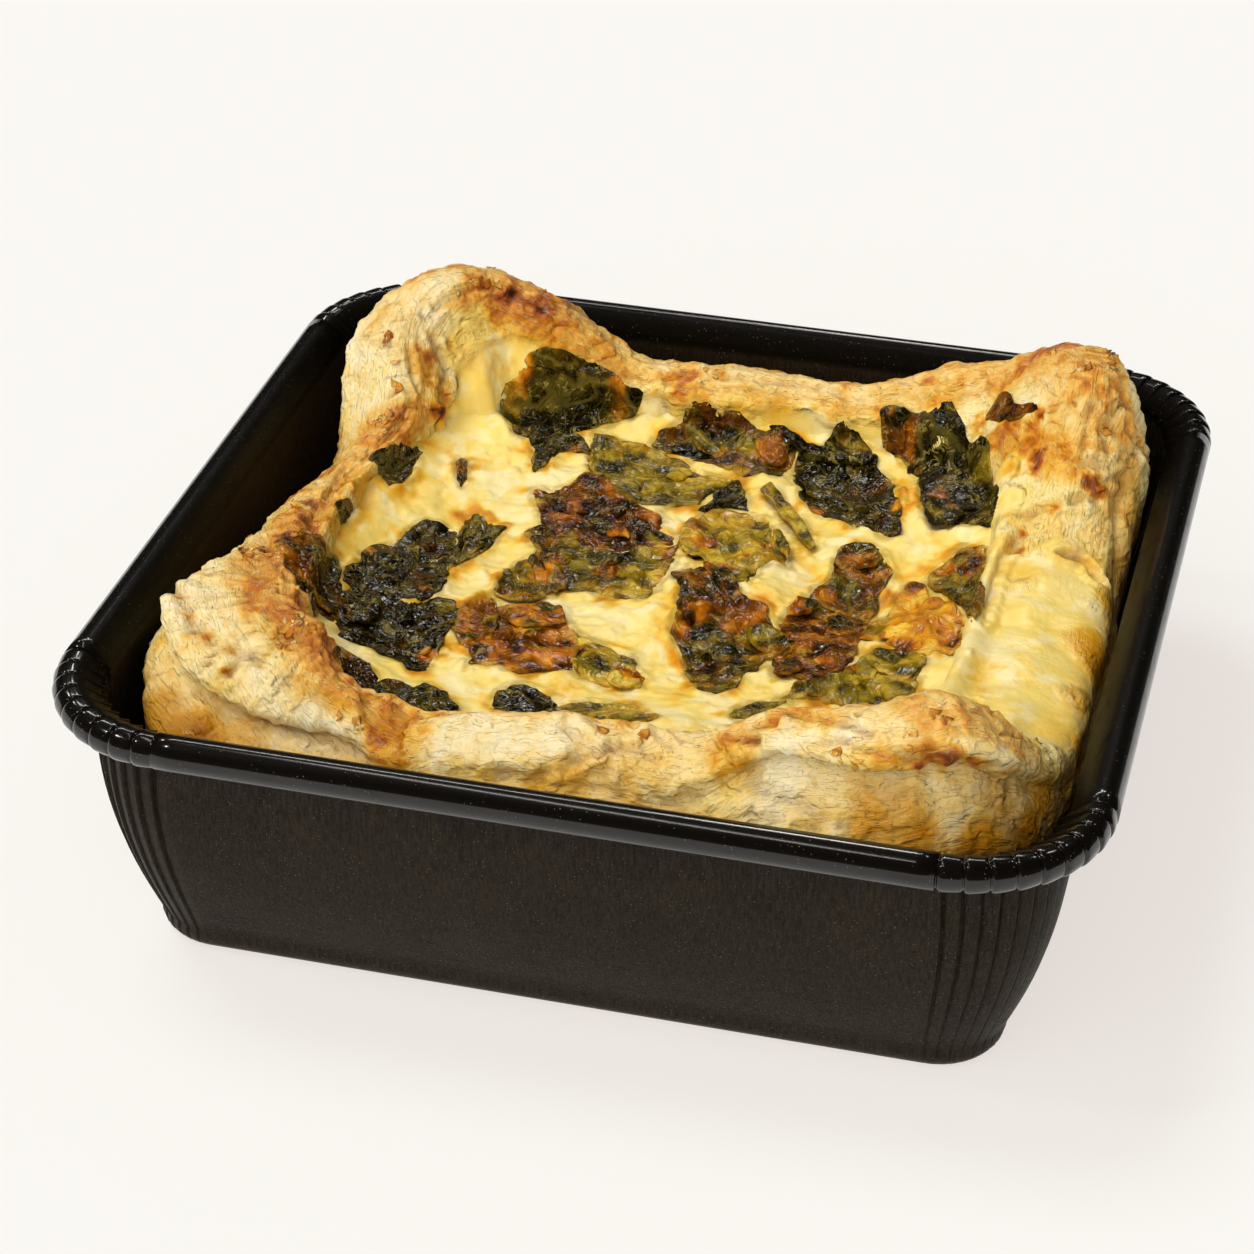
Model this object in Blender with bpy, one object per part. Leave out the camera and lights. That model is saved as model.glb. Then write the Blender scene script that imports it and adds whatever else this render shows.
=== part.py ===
"""Spinach quiche in its square baking tray.

A puff pastry case with four drawn-up corners stands in a pleated board tray.
It is filled with baked custard, and wilted spinach leaves lie on the custard.
+Z is up, +X is the tray's right, and the origin is under the middle of the tray.
Sizes are in millimetres until the meshes are made.
"""
import bpy
import bmesh
import numpy as np
from math import pi, radians
from mathutils import Vector
from mathutils.bvhtree import BVHTree

MM = 0.001
GAP = 0.35              # clearance kept between pieces that touch

# Tray: one sheet of board, pressed, with pleated corners and a rolled rim.
TRAY_SIDE = 155.0
TRAY_HEIGHT = 45.0
BOARD = 0.9             # thickness of the wall
FLOOR = 1.2             # thickness of the base
RIM_CORNER = 22.0       # corner radius of the rim, outside
BEAD = 2.7              # radius of the rolled rim
BEAD_STEPS = range(45, 316, 45)     # degrees round the rolled rim, from the wall outside
WALL_INSET = 5.8        # the wall's outside, in from the rim's outside, at the top
WALL_DRAFT = 9.3        # how much further in it is at the base
WALL_TOP = 39.6         # height at which the wall meets the rolled rim
WALL_CURVE = 2.1        # the wall is upright at the top and curves in below
BASE_ROUND = 4.0        # rounding where wall and base meet
CORNER_LOW = 3.0        # corner radius of the wall at the base
CORNER_GAIN = 13.2      # and how much it gains up to the rim
CORNER_CURVE = 0.255
PLEATS = 9              # folds in each corner
PLEAT_DEPTH = 0.8
RIM_PLEAT = 0.45        # step between the folds in the rolled rim
STRAIGHT_STEPS = 5      # spans along each straight side

# Pastry case: a loop of wall round a thin base.
HALF = 57.0             # half the side of the reference loop, midway in the wall
ROUND = 18.0            # its corner radius
STRAIGHT = 2 * (HALF - ROUND)
ARC = pi * ROUND / 2
SIDE = STRAIGHT + ARC
LOOP = 4 * SIDE         # the loop's length; places along it start at the front middle
CASE_STEPS = 120        # stations round the loop
CASE_BASE = 5.0         # thickness of the pastry base
FOOT = 5.4              # the foot stands this far out from the loop
SLUMP = 8.0             # and the low wall at least this far
BOTTOM = FLOOR + GAP    # height of the pastry's underside

# Features of the wall, round the loop anticlockwise from the front middle:
# place, crest offset, crest height, shoulder reach, shoulder drop, fold depth, belly offset, belly height
WALL_FEATURES = (
    (0, -1, 45.5, 6, 3, 0.5, 9.5, 35),          # front, middle
    (18, -1, 44, 6, 3, 0.5, 9.5, 34),           # front, dip
    (28, -1, 52, 4, 2.5, 1.5, 10, 36),          # front right, rise
    (40, -1, 53, 6, 4, 2.5, 10.5, 36),
    (53, 0, 57, 8, 5, 2.5, 11, 37),             # front right corner
    (61, 2, 51, 7, 8, 1.5, 11, 33),
    (69, 2, 40.5, 7, 3, 0, 11, 29),
    (80, 2, 39, 7, 3, 0, 12, 28),               # right side, broad and low
    (106, 2, 39.5, 7, 3, 0, 12.5, 28),
    (128, 1, 40, 6, 3, 0, 11, 29),
    (140, 1, 48, 6, 4, 1.5, 11, 40),
    (151, 2, 63, 6, 6, 0, 11, 45),              # back right corner, a round knob
    (160, 2, 59, 6, 5, 0, 11, 43),
    (167, -1, 53, 6, 4, 0, 10, 38),
    (176, -2, 52, 6, 4, 0, 9, 38),
    (191, -2, 45, 6, 3, 0, 9, 34),              # back, low
    (212, -2, 45.4, 6, 3, 0, 9, 34),
    (224, -1, 44.5, 6, 3, 0, 9, 33),
    (232, -1, 43.5, 6, 3, 0, 9, 33),
    (244, -2, 53.5, 6, 4, 0, 9, 38),
    (256, -2, 57.3, 7, 4, 0, 8, 42),
    (265, -1, 60, 8, 5, 0, 8, 46),              # back left corner, the highest peak
    (275, -1, 55.5, 8, 4, 0, 7, 44),
    (282, -2, 51.5, 8, 3, 0, 6.5, 42),
    (289, -3, 44, 8, 6, 0, 6, 32),              # left side, sagging
    (297, -2.5, 42, 5, 5, 0, 6, 29),
    (306, 1, 40, 4, 3, 0, 7, 29),
    (319, 2, 42.5, 4, 3, 0.5, 8, 31),
    (338, -1, 45.5, 6, 2.5, 1, 9, 34),
    (352, -5, 47.5, 13, 1.5, 1.5, 11, 38),
    (363, -9, 47.5, 18, 1.5, 2.5, 12, 37),       # front left corner, a rolled flap
    (372, -12, 46.5, 16, 6, 3, 13, 32),
    (383, -9, 43.5, 8, 5, 2.5, 10, 31),
    (392, -6, 40, 4, 3, 1.5, 9, 30),
    (399, -2, 38, 4, 2, 0.5, 9, 30),            # front notch
    (409, -1, 43, 6, 3, 0.5, 9, 34),
)
# Where the custard's edge meets the wall: place, offset, height
LINE_FEATURES = (
    (0, -8, 38),
    (53, -12.5, 40.5),
    (90, -9.5, 38.5),
    (128, -9.5, 39),
    (159, -15, 40.5),
    (191, -8, 40),
    (229, -8, 40),
    (265, -16, 40.5),
    (297, -6, 40),
    (319, -4, 40),
    (345, -8, 40.5),
    (372, -16, 40),
    (399, -8, 36.5),
)
FOLD_LIP = 2.4          # thickness of the folded-over edge
FEATURE_SPREAD = 6.0    # features run into each other over this length

# Custard: fills the case; baked, so its top is uneven.
CUSTARD_TOP = 35.0
CUSTARD_STEPS = 60
CUSTARD_RINGS = 9
INNER_FLOOR = -20.0     # the wall's inner foot, from the loop
TIGHT = -8.0            # further in than this the loop's corners tighten more slowly

# Wilted spinach lying on the filling: name, centre, half length, half width, turn in degrees
LEAVES = (
    ("back_left", -28, 44, 12, 6, 9),
    ("back_left_tail", -29, 35, 5, 4, -40),
    ("back_olive", -10, 34, 14, 6, -18),
    ("burnt_middle", -16, 20, 10, 8, -74),
    ("middle_left", -14, 3, 10, 9, 6),
    ("back_middle", -2, 44, 13, 5, -10),
    ("back_peak", 20, 45, 5, 4, -10),
    ("back_right_low", 22, 33, 12, 7, -41),
    ("back_right_side", 29, 45, 6, 5, -42),
    ("back_right_leaf", 39, 39, 12, 7, -70),
    ("knob_flake", 46, 46, 5, 2.5, -39),
    ("olive_middle", 7, 24, 9, 6, -63),
    ("dark_triangle", 2, 32, 5, 3, 60),
    ("middle", 4, 8, 13, 6, -77),
    ("front_middle", 12, -14, 13, 8, -76),
    ("right_upper", 28, 13, 9, 6, -83),
    ("red_brown", 26, -8, 12, 7, -79),
    ("front_right", 36, -27, 13, 10, -60),
    ("right_orange", 41, 1, 14, 8, -69),
    ("right_edge", 45, 15, 8, 3, -76),
    ("left_lobed", -34, 7, 9, 6, 79),
    ("left_cluster", -42, -6, 14, 7, 78),
    ("left_wall_low", -49, -22, 12, 5, -75),
    ("left_front", -37, -27, 13, 9, 83),
    ("front_left_brown", -20, -19, 12, 9, -67),
    ("front_teal", -6, -23, 9, 6, -32),
    ("front_dark", -14, -36, 6, 4, 20),
    ("front_olive", 0, -38, 9, 4, 3),
    ("flap_dark", -27, -43, 10, 5, -40),
    ("flap_brown", -37, -39, 5, 3, -60),
    ("wall_leaf", -50, 20, 8, 4, 81),
    ("wall_fleck", -53, 2, 3, 2, 89),
    ("bank_fleck", -40, 24, 4, 2, -77),
    ("ridge_sliver", 20, -34, 5, 3, 30),
)
LARGE_LEAF = 7.5        # longer leaves than this get more spokes
LEAF_THICKNESS = 1.1
LEAF_SPACE = 0.6        # room left between neighbouring leaves
LEAF_CRUMPLE = 0.9      # height of the folds in a leaf
LEAF_DOME = 0.8         # how much a leaf stands up in the middle
LOBES = 0.16            # unevenness of a leaf's outline


def clear_scene():
    for old in list(bpy.data.objects):
        bpy.data.objects.remove(old, do_unlink=True)


def material(name, colour, roughness, metallic=0.0):
    made = bpy.data.materials.new(name)
    made.use_nodes = True
    shader = made.node_tree.nodes["Principled BSDF"]
    shader.inputs["Base Color"].default_value = (*colour, 1.0)
    shader.inputs["Roughness"].default_value = roughness
    shader.inputs["Metallic"].default_value = metallic
    return made


def solid(name, points, faces, finish):
    """A closed mesh object from points in millimetres."""
    mesh = bpy.data.meshes.new(name)
    mesh.from_pydata([tuple(MM * float(c) for c in p) for p in points], [], faces)
    work = bmesh.new()
    work.from_mesh(mesh)
    bmesh.ops.triangulate(work, faces=work.faces)
    bmesh.ops.recalc_face_normals(work, faces=work.faces)
    work.to_mesh(mesh)
    work.free()
    mesh.materials.append(finish)
    made = bpy.data.objects.new(name, mesh)
    bpy.context.scene.collection.objects.link(made)
    mesh.shade_smooth()
    mesh.set_sharp_from_angle(angle=radians(50))
    return made


def loft(rings, first=None, last=None):
    """Points and faces of a tube through closed rings, shut by a point at each end."""
    rows = len(rings)
    count = len(rings[0])
    points = [tuple(p) for ring in rings for p in ring]
    faces = []
    for row in range(rows - 1):
        for i in range(count):
            j = (i + 1) % count
            low = row * count
            high = low + count
            faces.append((low + i, low + j, high + j, high + i))
    for point, row in ((first, 0), (last, rows - 1)):
        if point is None:
            continue
        tip = len(points)
        points.append(tuple(point))
        for i in range(count):
            faces.append((row * count + i, row * count + (i + 1) % count, tip))
    return points, faces


def tray_stations():
    """Side, part along the straight from -1 to 1, corner angle and pleat depth of each station."""
    stations = []
    for side in range(4):
        for i in range(STRAIGHT_STEPS + 1):
            stations.append((side, -1 + 2 * i / STRAIGHT_STEPS, 0.0, 0.0))
        for i in range(PLEATS):
            stations.append((side, 1.0, (i + 0.10) / PLEATS * pi / 2, 1.0))
            if i < PLEATS - 1:
                stations.append((side, 1.0, (i + 0.98) / PLEATS * pi / 2, 0.0))
    return stations


def tray_ring(inset, height, corner, depth):
    """A ring of the tray: a rounded square whose corner angles are pleated."""
    half = TRAY_SIDE / 2 - inset
    ring = []
    for side, along, angle, fold in tray_stations():
        radius = corner - depth * fold
        x = along * (half - corner) + radius * np.sin(angle)
        y = -(half - corner) - radius * np.cos(angle)
        turn = side * pi / 2
        ring.append((x * np.cos(turn) - y * np.sin(turn), x * np.sin(turn) + y * np.cos(turn), height))
    return ring


def wall_inset(height):
    part = np.clip(height / WALL_TOP, 0, 1)
    return WALL_INSET + WALL_DRAFT * (1 - part) ** WALL_CURVE


def wall_corner(height):
    part = np.clip(height / WALL_TOP, 0.004, 1)
    return CORNER_LOW + CORNER_GAIN * part ** CORNER_CURVE


def wall_ring(height, inward=0.0):
    depth = PLEAT_DEPTH * np.clip(height / WALL_TOP, 0, 1) ** 0.7
    inset = wall_inset(height) + inward
    return tray_ring(inset, height, wall_corner(height) - inward, depth)


def make_tray(finish):
    rings = []
    edge = wall_inset(BASE_ROUND)
    corner = wall_corner(BASE_ROUND)
    rings.append(tray_ring(edge + BASE_ROUND * 0.85, 0.0, corner - BASE_ROUND * 0.85, 0.1))
    rings.append(tray_ring(edge + BASE_ROUND * 0.22, BASE_ROUND * 0.28, corner - BASE_ROUND * 0.22, 0.2))
    for height in (BASE_ROUND, 12.0, 24.0, WALL_TOP):
        rings.append(wall_ring(height))
    for degrees in BEAD_STEPS:
        turn = radians(-degrees)
        inset = BEAD + BEAD * np.cos(turn)
        height = TRAY_HEIGHT - BEAD + BEAD * np.sin(turn)
        rings.append(tray_ring(inset, height, RIM_CORNER - inset, RIM_PLEAT))
    rings.append(wall_ring(WALL_TOP + 1.8, BOARD))
    for height in (WALL_TOP - 1, 24.0, 12.0, BASE_ROUND + 0.5):
        rings.append(wall_ring(height, BOARD))
    rings.append(tray_ring(edge + BASE_ROUND * 0.85 + BOARD, FLOOR, corner - BASE_ROUND * 0.85 - BOARD * 0.4, 0.1))
    points, faces = loft(rings, (0, 0, 0), (0, 0, FLOOR))
    return solid("tray", points, faces, finish)


def loop_point(place, offset):
    """Points beside the reference loop, offset outwards."""
    place = np.asarray(place, float) % LOOP
    offset = offset + np.zeros_like(place)
    side = np.floor((place + SIDE / 2) / SIDE)
    run = place - side * SIDE
    straight = np.clip(run, -STRAIGHT / 2, STRAIGHT / 2)
    angle = (run - straight) / ROUND
    tightest = ROUND + TIGHT
    radius = np.where(offset > TIGHT, ROUND + offset, tightest * np.exp((offset - TIGHT) / tightest))
    middle = HALF + offset - radius
    x = straight * middle / (HALF - ROUND) + radius * np.sin(angle)
    y = -middle - radius * np.cos(angle)
    turn = side * pi / 2
    return x * np.cos(turn) - y * np.sin(turn), x * np.sin(turn) + y * np.cos(turn)


def feature(place, column, table=WALL_FEATURES):
    """One column of a table of features at a place, with neighbours run into each other."""
    places = [row[0] for row in table]
    values = [row[column] for row in table]
    shifts = np.linspace(-1, 1, 9)
    weights = np.cos(shifts * pi / 2.4)
    total = sum(w * np.interp(place + d * FEATURE_SPREAD, places, values, period=LOOP)
                for d, w in zip(shifts, weights))
    return total / weights.sum()


def custard_line(place):
    """Offset and height of the custard's edge on the wall."""
    return feature(place, 1, LINE_FEATURES), feature(place, 2, LINE_FEATURES)


def wall_knots(place):
    """Offset and height of the wall's section, from the foot over the crest to the inner foot."""
    crest, top, reach, drop, fold, belly, middle = (feature(place, i) for i in range(1, 8))
    shoulder = crest + reach
    folded = np.clip(fold / 1.5, 0, 1)
    under = folded * (shoulder - fold) + (1 - folded) * (0.45 * shoulder + 0.55 * belly)
    under_height = top - drop - folded * FOLD_LIP - (1 - folded) * 0.45 * (top - drop - middle)
    line, line_height = custard_line(place)
    low_height = 0.45 * middle
    room = TRAY_SIDE / 2 - HALF - wall_inset(low_height) - BOARD - GAP
    low = np.clip(FOOT + 0.62 * (belly - FOOT), SLUMP, room)
    zero = np.zeros_like(place)
    return (
        (zero + FOOT - 4, zero + BOTTOM),
        (zero + FOOT, zero + BOTTOM + 2.5),
        (low, low_height),
        (belly, middle),
        (under, under_height),
        (shoulder, top - drop),
        (crest, top),
        (crest - 0.55 * (crest - line), line_height + 0.62 * (top - line_height)),
        (line, line_height),
        (line - 2, 0.45 * line_height),
        (zero + INNER_FLOOR, zero + BOTTOM + CASE_BASE),
    )


def smooth_rows(knots, steps):
    """Rows of a smooth curve through the knots (Catmull-Rom)."""
    rows = []
    last = len(knots) - 1
    for i in range(last):
        p0, p1, p2, p3 = (knots[min(max(i + d, 0), last)] for d in (-1, 0, 1, 2))
        for step in range(steps[i]):
            t = step / steps[i]
            rows.append(tuple(
                0.5 * (2 * b + (c - a) * t + (2 * a - 5 * b + 4 * c - d) * t ** 2
                       + (3 * b - a - 3 * c + d) * t ** 3)
                for a, b, c, d in zip(p0, p1, p2, p3)))
    rows.append(knots[last])
    return rows


def make_case(finish):
    place = np.arange(CASE_STEPS) * LOOP / CASE_STEPS
    rows = smooth_rows(wall_knots(place), (1, 1, 2, 2, 1, 2, 2, 2, 1, 1))
    rings = []
    for offset, height in rows:
        x, y = loop_point(place, offset)
        rings.append(list(zip(x, y, height)))
    points, faces = loft(rings, (0, 0, BOTTOM), (0, 0, BOTTOM + CASE_BASE))
    return solid("pastry_case", points, faces, finish)


def custard_relief(x, y):
    """Uneven baked top, in the middle of the custard."""
    swell = 0.8 * np.sin(x / 9.0 + 1.1) * np.cos(y / 8.0 - 0.6)
    ripple = 0.5 * np.sin(x / 5.5 - y / 7.0 + 0.4)
    return CUSTARD_TOP + swell + ripple


def make_custard(finish):
    place = np.arange(CUSTARD_STEPS) * LOOP / CUSTARD_STEPS
    line, line_height = custard_line(place)
    low = BOTTOM + CASE_BASE
    rings = []
    inner = (
        (INNER_FLOOR - GAP, low + GAP),
        (line - 2 - GAP, 0.45 * line_height),
        (line - GAP - 0.2, line_height - 0.2),
    )
    for offset, height in inner:
        x, y = loop_point(place, offset)
        rings.append(list(zip(x, y, height + np.zeros_like(x))))
    edge_x, edge_y = loop_point(place, line - GAP - 0.2)
    for ring in range(1, CUSTARD_RINGS):
        part = 1 - ring / CUSTARD_RINGS
        x, y = edge_x * part, edge_y * part
        rise = np.clip((part - 0.7) / 0.3, 0, 1) ** 2
        height = custard_relief(x, y) * (1 - rise) + line_height * rise
        rings.append(list(zip(x, y, height)))
    points, faces = loft(rings, (0, 0, low + GAP), (0, 0, custard_relief(0.0, 0.0)))
    return solid("custard", points, faces, finish)


def leaf_reach(leaf, direction):
    """How far a leaf's oval reaches in a direction."""
    length, width, turn = leaf[3:6]
    along = direction - radians(turn)
    return length * width / np.hypot(width * np.cos(along), length * np.sin(along))


def leaf_outline(leaf, spokes, draw):
    """Reach along each spoke: a lobed oval, kept clear of its neighbours."""
    directions = np.arange(spokes) * 2 * pi / spokes
    lobe, shift = draw.integers(3, 6), draw.uniform(0, 2 * pi)
    uneven = 1 + LOBES * np.sin(lobe * directions + shift) + draw.uniform(-LOBES, LOBES, spokes) / 2
    reaches = leaf_reach(leaf, directions) * uneven
    for other in LEAVES:
        if other is leaf:
            continue
        away = np.array((other[1] - leaf[1], other[2] - leaf[2]))
        distance = np.hypot(*away)
        bearing = np.arctan2(away[1], away[0])
        mine = leaf_reach(leaf, bearing)
        theirs = leaf_reach(other, bearing)
        limit = distance * mine / (mine + theirs) - LEAF_SPACE / 2
        facing = np.cos(directions - bearing)
        reaches = np.where(facing > 0.05, np.minimum(reaches, limit / np.maximum(facing, 0.05)), reaches)
    return directions, reaches


def surface_below(x, y, trees, spread=1.2):
    """The highest point of the filling and the pastry near a place."""
    heights = []
    for dx, dy in ((0, 0), (spread, 0), (-spread, 0), (0, spread), (0, -spread)):
        start = Vector(((x + dx) * MM, (y + dy) * MM, 1.0))
        for tree in trees:
            spot = tree.ray_cast(start, Vector((0, 0, -1)))[0]
            if spot is not None:
                heights.append(spot.z / MM)
    return max(heights)


def make_leaf(leaf, number, trees, finish):
    """A thin wavy solid over the filling, both faces with the same grid."""
    name, centre_x, centre_y, length = leaf[:4]
    draw = np.random.default_rng(100 + number)
    large = length > LARGE_LEAF
    spokes, parts = (16, (0.4, 0.75, 1.0)) if large else (10, (0.55, 1.0))
    directions, reaches = leaf_outline(leaf, spokes, draw)
    waves = draw.uniform(0.35, 0.75, 3)
    turns = draw.uniform(0, 2 * pi, 3)
    grids = []
    for part in (0.0, *parts):
        count = 1 if part == 0.0 else spokes
        grid = []
        for i in range(count):
            x = centre_x + part * reaches[i] * np.cos(directions[i])
            y = centre_y + part * reaches[i] * np.sin(directions[i])
            folds = sum(abs(np.sin(wave * (x * np.cos(turn) + y * np.sin(turn)) + turn))
                        for wave, turn in zip(waves, turns)) / 3
            lift = LEAF_CRUMPLE * folds + LEAF_DOME * (1 - part ** 2)
            low = surface_below(x, y, trees) + GAP + lift
            thick = LEAF_THICKNESS * (1 - 0.45 * part)
            grid.append(((x, y, low), (x, y, low + thick)))
        grids.append(grid)
    rings = [[point[1] for point in grid] for grid in grids[1:]]
    rings += [[point[0] for point in grid] for grid in reversed(grids[1:])]
    points, faces = loft(rings, grids[0][0][1], grids[0][0][0])
    return solid("spinach_" + name, points, faces, finish)


def build():
    clear_scene()
    board = material("black_board", (0.022, 0.019, 0.018), 0.42)
    pastry = material("baked_pastry", (0.80, 0.55, 0.27), 0.55)
    egg = material("baked_custard", (0.88, 0.70, 0.26), 0.45)
    leaf_green = material("wilted_spinach", (0.050, 0.060, 0.018), 0.35)
    make_tray(board)
    filled = (make_case(pastry), make_custard(egg))
    bpy.context.view_layer.update()
    graph = bpy.context.evaluated_depsgraph_get()
    trees = [BVHTree.FromObject(piece, graph) for piece in filled]
    for number, leaf in enumerate(LEAVES):
        make_leaf(leaf, number, trees, leaf_green)


build()
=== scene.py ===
"""Spinach quiche in its square baking tray, dressed for the photograph's view.

Every piece is made from the sizes of the solids, in millimetres until its mesh is made.
"""
from itertools import product
from math import radians

import bpy
import numpy as np
from mathutils import Matrix, Vector
from mathutils.bvhtree import BVHTree


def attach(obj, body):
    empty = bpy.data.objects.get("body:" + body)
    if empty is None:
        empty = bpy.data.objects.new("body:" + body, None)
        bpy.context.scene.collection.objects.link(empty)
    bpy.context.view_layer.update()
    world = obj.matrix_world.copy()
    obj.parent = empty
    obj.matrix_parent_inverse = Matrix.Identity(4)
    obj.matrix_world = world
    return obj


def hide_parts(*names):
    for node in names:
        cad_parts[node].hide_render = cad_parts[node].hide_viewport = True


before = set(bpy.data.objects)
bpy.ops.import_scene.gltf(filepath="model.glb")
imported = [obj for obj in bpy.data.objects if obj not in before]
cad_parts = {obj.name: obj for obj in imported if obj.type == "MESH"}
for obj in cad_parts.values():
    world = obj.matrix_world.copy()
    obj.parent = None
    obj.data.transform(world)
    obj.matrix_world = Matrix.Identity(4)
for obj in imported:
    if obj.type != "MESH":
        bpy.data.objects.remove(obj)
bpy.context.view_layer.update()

pi = np.pi
MM = 0.001

# ---------------- sizes, as in the solids
GAP = 0.35
TRAY_SIDE = 155.0
TRAY_HEIGHT = 45.0
BOARD = 0.9
FLOOR = 1.2
RIM_CORNER = 22.0
BEAD = 2.7
WALL_INSET = 5.8
WALL_DRAFT = 9.3
WALL_TOP = 39.6
WALL_CURVE = 2.1
BASE_ROUND = 4.0
CORNER_LOW = 3.0
CORNER_GAIN = 13.2
CORNER_CURVE = 0.255
PLEATS = 9

HALF = 57.0
ROUND = 18.0
STRAIGHT = 2 * (HALF - ROUND)
ARC = pi * ROUND / 2
SIDE = STRAIGHT + ARC
LOOP = 4 * SIDE
CASE_BASE = 5.0
FOOT = 5.4
SLUMP = 8.0
BOTTOM = FLOOR + GAP
# Wall features round the loop, anticlockwise from the front middle: place, crest offset,
# crest height, shoulder reach, shoulder drop, fold depth, belly offset, belly height
WALL_FEATURES = (
    (0, -1, 45.5, 6, 3, 0.5, 9.5, 35), (18, -1, 44, 6, 3, 0.5, 9.5, 34), (28, -1, 52, 4, 2.5, 1.5, 10, 36),
    (40, -1, 53, 6, 4, 2.5, 10.5, 36), (53, 0, 57, 8, 5, 2.5, 11, 37), (61, 2, 51, 7, 8, 1.5, 11, 33),
    (69, 2, 40.5, 7, 3, 0, 11, 29), (80, 2, 39, 7, 3, 0, 12, 28), (106, 2, 39.5, 7, 3, 0, 12.5, 28),
    (128, 1, 40, 6, 3, 0, 11, 29), (140, 1, 48, 6, 4, 1.5, 11, 40), (151, 2, 63, 6, 6, 0, 11, 45),
    (160, 2, 59, 6, 5, 0, 11, 43), (167, -1, 53, 6, 4, 0, 10, 38), (176, -2, 52, 6, 4, 0, 9, 38),
    (191, -2, 45, 6, 3, 0, 9, 34), (212, -2, 45.4, 6, 3, 0, 9, 34), (224, -1, 44.5, 6, 3, 0, 9, 33),
    (232, -1, 43.5, 6, 3, 0, 9, 33), (244, -2, 53.5, 6, 4, 0, 9, 38), (256, -2, 57.3, 7, 4, 0, 8, 42),
    (265, -1, 60, 8, 5, 0, 8, 46), (275, -1, 55.5, 8, 4, 0, 7, 44), (282, -2, 51.5, 8, 3, 0, 6.5, 42),
    (289, -3, 44, 8, 6, 0, 6, 32), (297, -2.5, 42, 5, 5, 0, 6, 29), (306, 1, 40, 4, 3, 0, 7, 29),
    (319, 2, 42.5, 4, 3, 0.5, 8, 31), (338, -1, 45.5, 6, 2.5, 1, 9, 34),
    (352, -5, 47.5, 13, 1.5, 1.5, 11, 38), (363, -9, 47.5, 18, 1.5, 2.5, 12, 37),
    (372, -12, 46.5, 16, 6, 3, 13, 32), (383, -9, 43.5, 8, 5, 2.5, 10, 31), (392, -6, 40, 4, 3, 1.5, 9, 30),
    (399, -2, 38, 4, 2, 0.5, 9, 30), (409, -1, 43, 6, 3, 0.5, 9, 34),
)
# The custard's edge on the wall: place, offset, height
LINE_FEATURES = (
    (0, -8, 38), (53, -12.5, 40.5), (90, -9.5, 38.5), (128, -9.5, 39), (159, -15, 40.5), (191, -8, 40),
    (229, -8, 40), (265, -16, 40.5), (297, -6, 40), (319, -4, 40), (345, -8, 40.5), (372, -16, 40),
    (399, -8, 36.5),
)
FOLD_LIP = 2.4
FEATURE_SPREAD = 6.0
CUSTARD_TOP = 35.0
INNER_FLOOR = -20.0
TIGHT = -8.0

# ---------------- sizes of the fine surface
STRAIGHT_SPANS = 40     # steps along each straight side of the tray
PLEAT_DEEP = 0.85       # depth of the wall's pleats at the rim
RIM_LAP = 0.6           # how far the rim's folds step in
BASE_BEND = 0.85        # how far the wall's foot turns in, in base rounds
# Part of the way through a fold, depth in the wall's pleat, depth in the rim's fold
PLEAT_SHAPE = (
    (0.02, 0.0, 0.45), (0.06, 0.9, 1.0), (0.10, 1.15, 0.42), (0.15, 1.1, 0.12), (0.22, 1.0, 0.04),
    (0.28, 0.55, 0.0), (0.40, 0.42, 0.03), (0.56, 0.28, 0.1), (0.72, 0.16, 0.17), (0.86, 0.06, 0.25),
    (0.95, 0.0, 0.31),
)
# Rows between the section's knots: foot, low wall, belly, under the fold, shoulder, crest,
# inner shoulder, custard line, inner wall, inner floor
SECTION_ROWS = (1, 3, 7, 15, 7, 13, 16, 15, 5, 1)
CREST_ROW = sum(SECTION_ROWS[:6])
CASE_COUNT = 1120       # steps round the pastry case
SOFT_TOP = 57.6         # where the crust's highest spots start to be held down
SOFT_ROOM = 2.8         # and how far over it they may rise
# Places on the loop: the four drawn-up corners, and the parts of the crust with a look of their own
CORNERS = (53, 156, 265, 368)
LOW_SIDE = 98
KNOB = 153
FLAP = 362
# Where the crust sheds flakes: place, spread, height over the crest, amount
FLAKY = (
    (372, 16, 2, 1.0), (352, 14, 4, 0.8), (335, 10, 0, 0.8), (265, 12, 0, 0.5), (290, 10, 1, 0.9),
    (153, 9, 1, 0.7), (45, 14, 5, 0.5), (10, 20, 3, 0.25), (232, 14, 0, 0.4),
)
CUSTARD_COUNT = 560     # steps round the custard's edge
CUSTARD_RINGS = 150     # rings from its edge to its middle
TUCK = 1.6              # how far the custard's edge runs on into the crust
LEAF_THIN = 0.32        # thickness of a leaf


# ---------------- shader formulas
class Wire:
    """A shader socket that takes part in sums, so that a finish reads as a formula."""

    def __init__(self, finish, socket):
        self.finish = finish
        self.socket = socket

    def maths(self, operation, *values, clamp=False):
        """The values put through one maths node."""
        return self.finish.node("Math", {"operation": operation, "use_clamp": clamp}, *values)

    def __rsub__(self, other):
        return self.maths("SUBTRACT", other, self)

    def clamp(self):
        """Held between 0 and 1."""
        return self.maths("ADD", self, 0.0, clamp=True)

    def span(self, low, high):
        """0 at low, 1 at high, smooth in between."""
        if low > high:
            return 1 - self.span(high, low)
        settings = {"interpolation_type": "SMOOTHSTEP", "clamp": True}
        return self.finish.node("MapRange", settings, self, low, high, 0.0, 1.0)


for method, sum_name in (("__add__", "ADD"), ("__radd__", "ADD"), ("__sub__", "SUBTRACT"),
                         ("__mul__", "MULTIPLY"), ("__rmul__", "MULTIPLY"), ("__truediv__", "DIVIDE"),
                         ("most", "MAXIMUM"), ("absolute", "ABSOLUTE"), ("sine", "SINE")):
    setattr(Wire, method, lambda wire, *other, sum_name=sum_name: wire.maths(sum_name, wire, *other))


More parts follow.
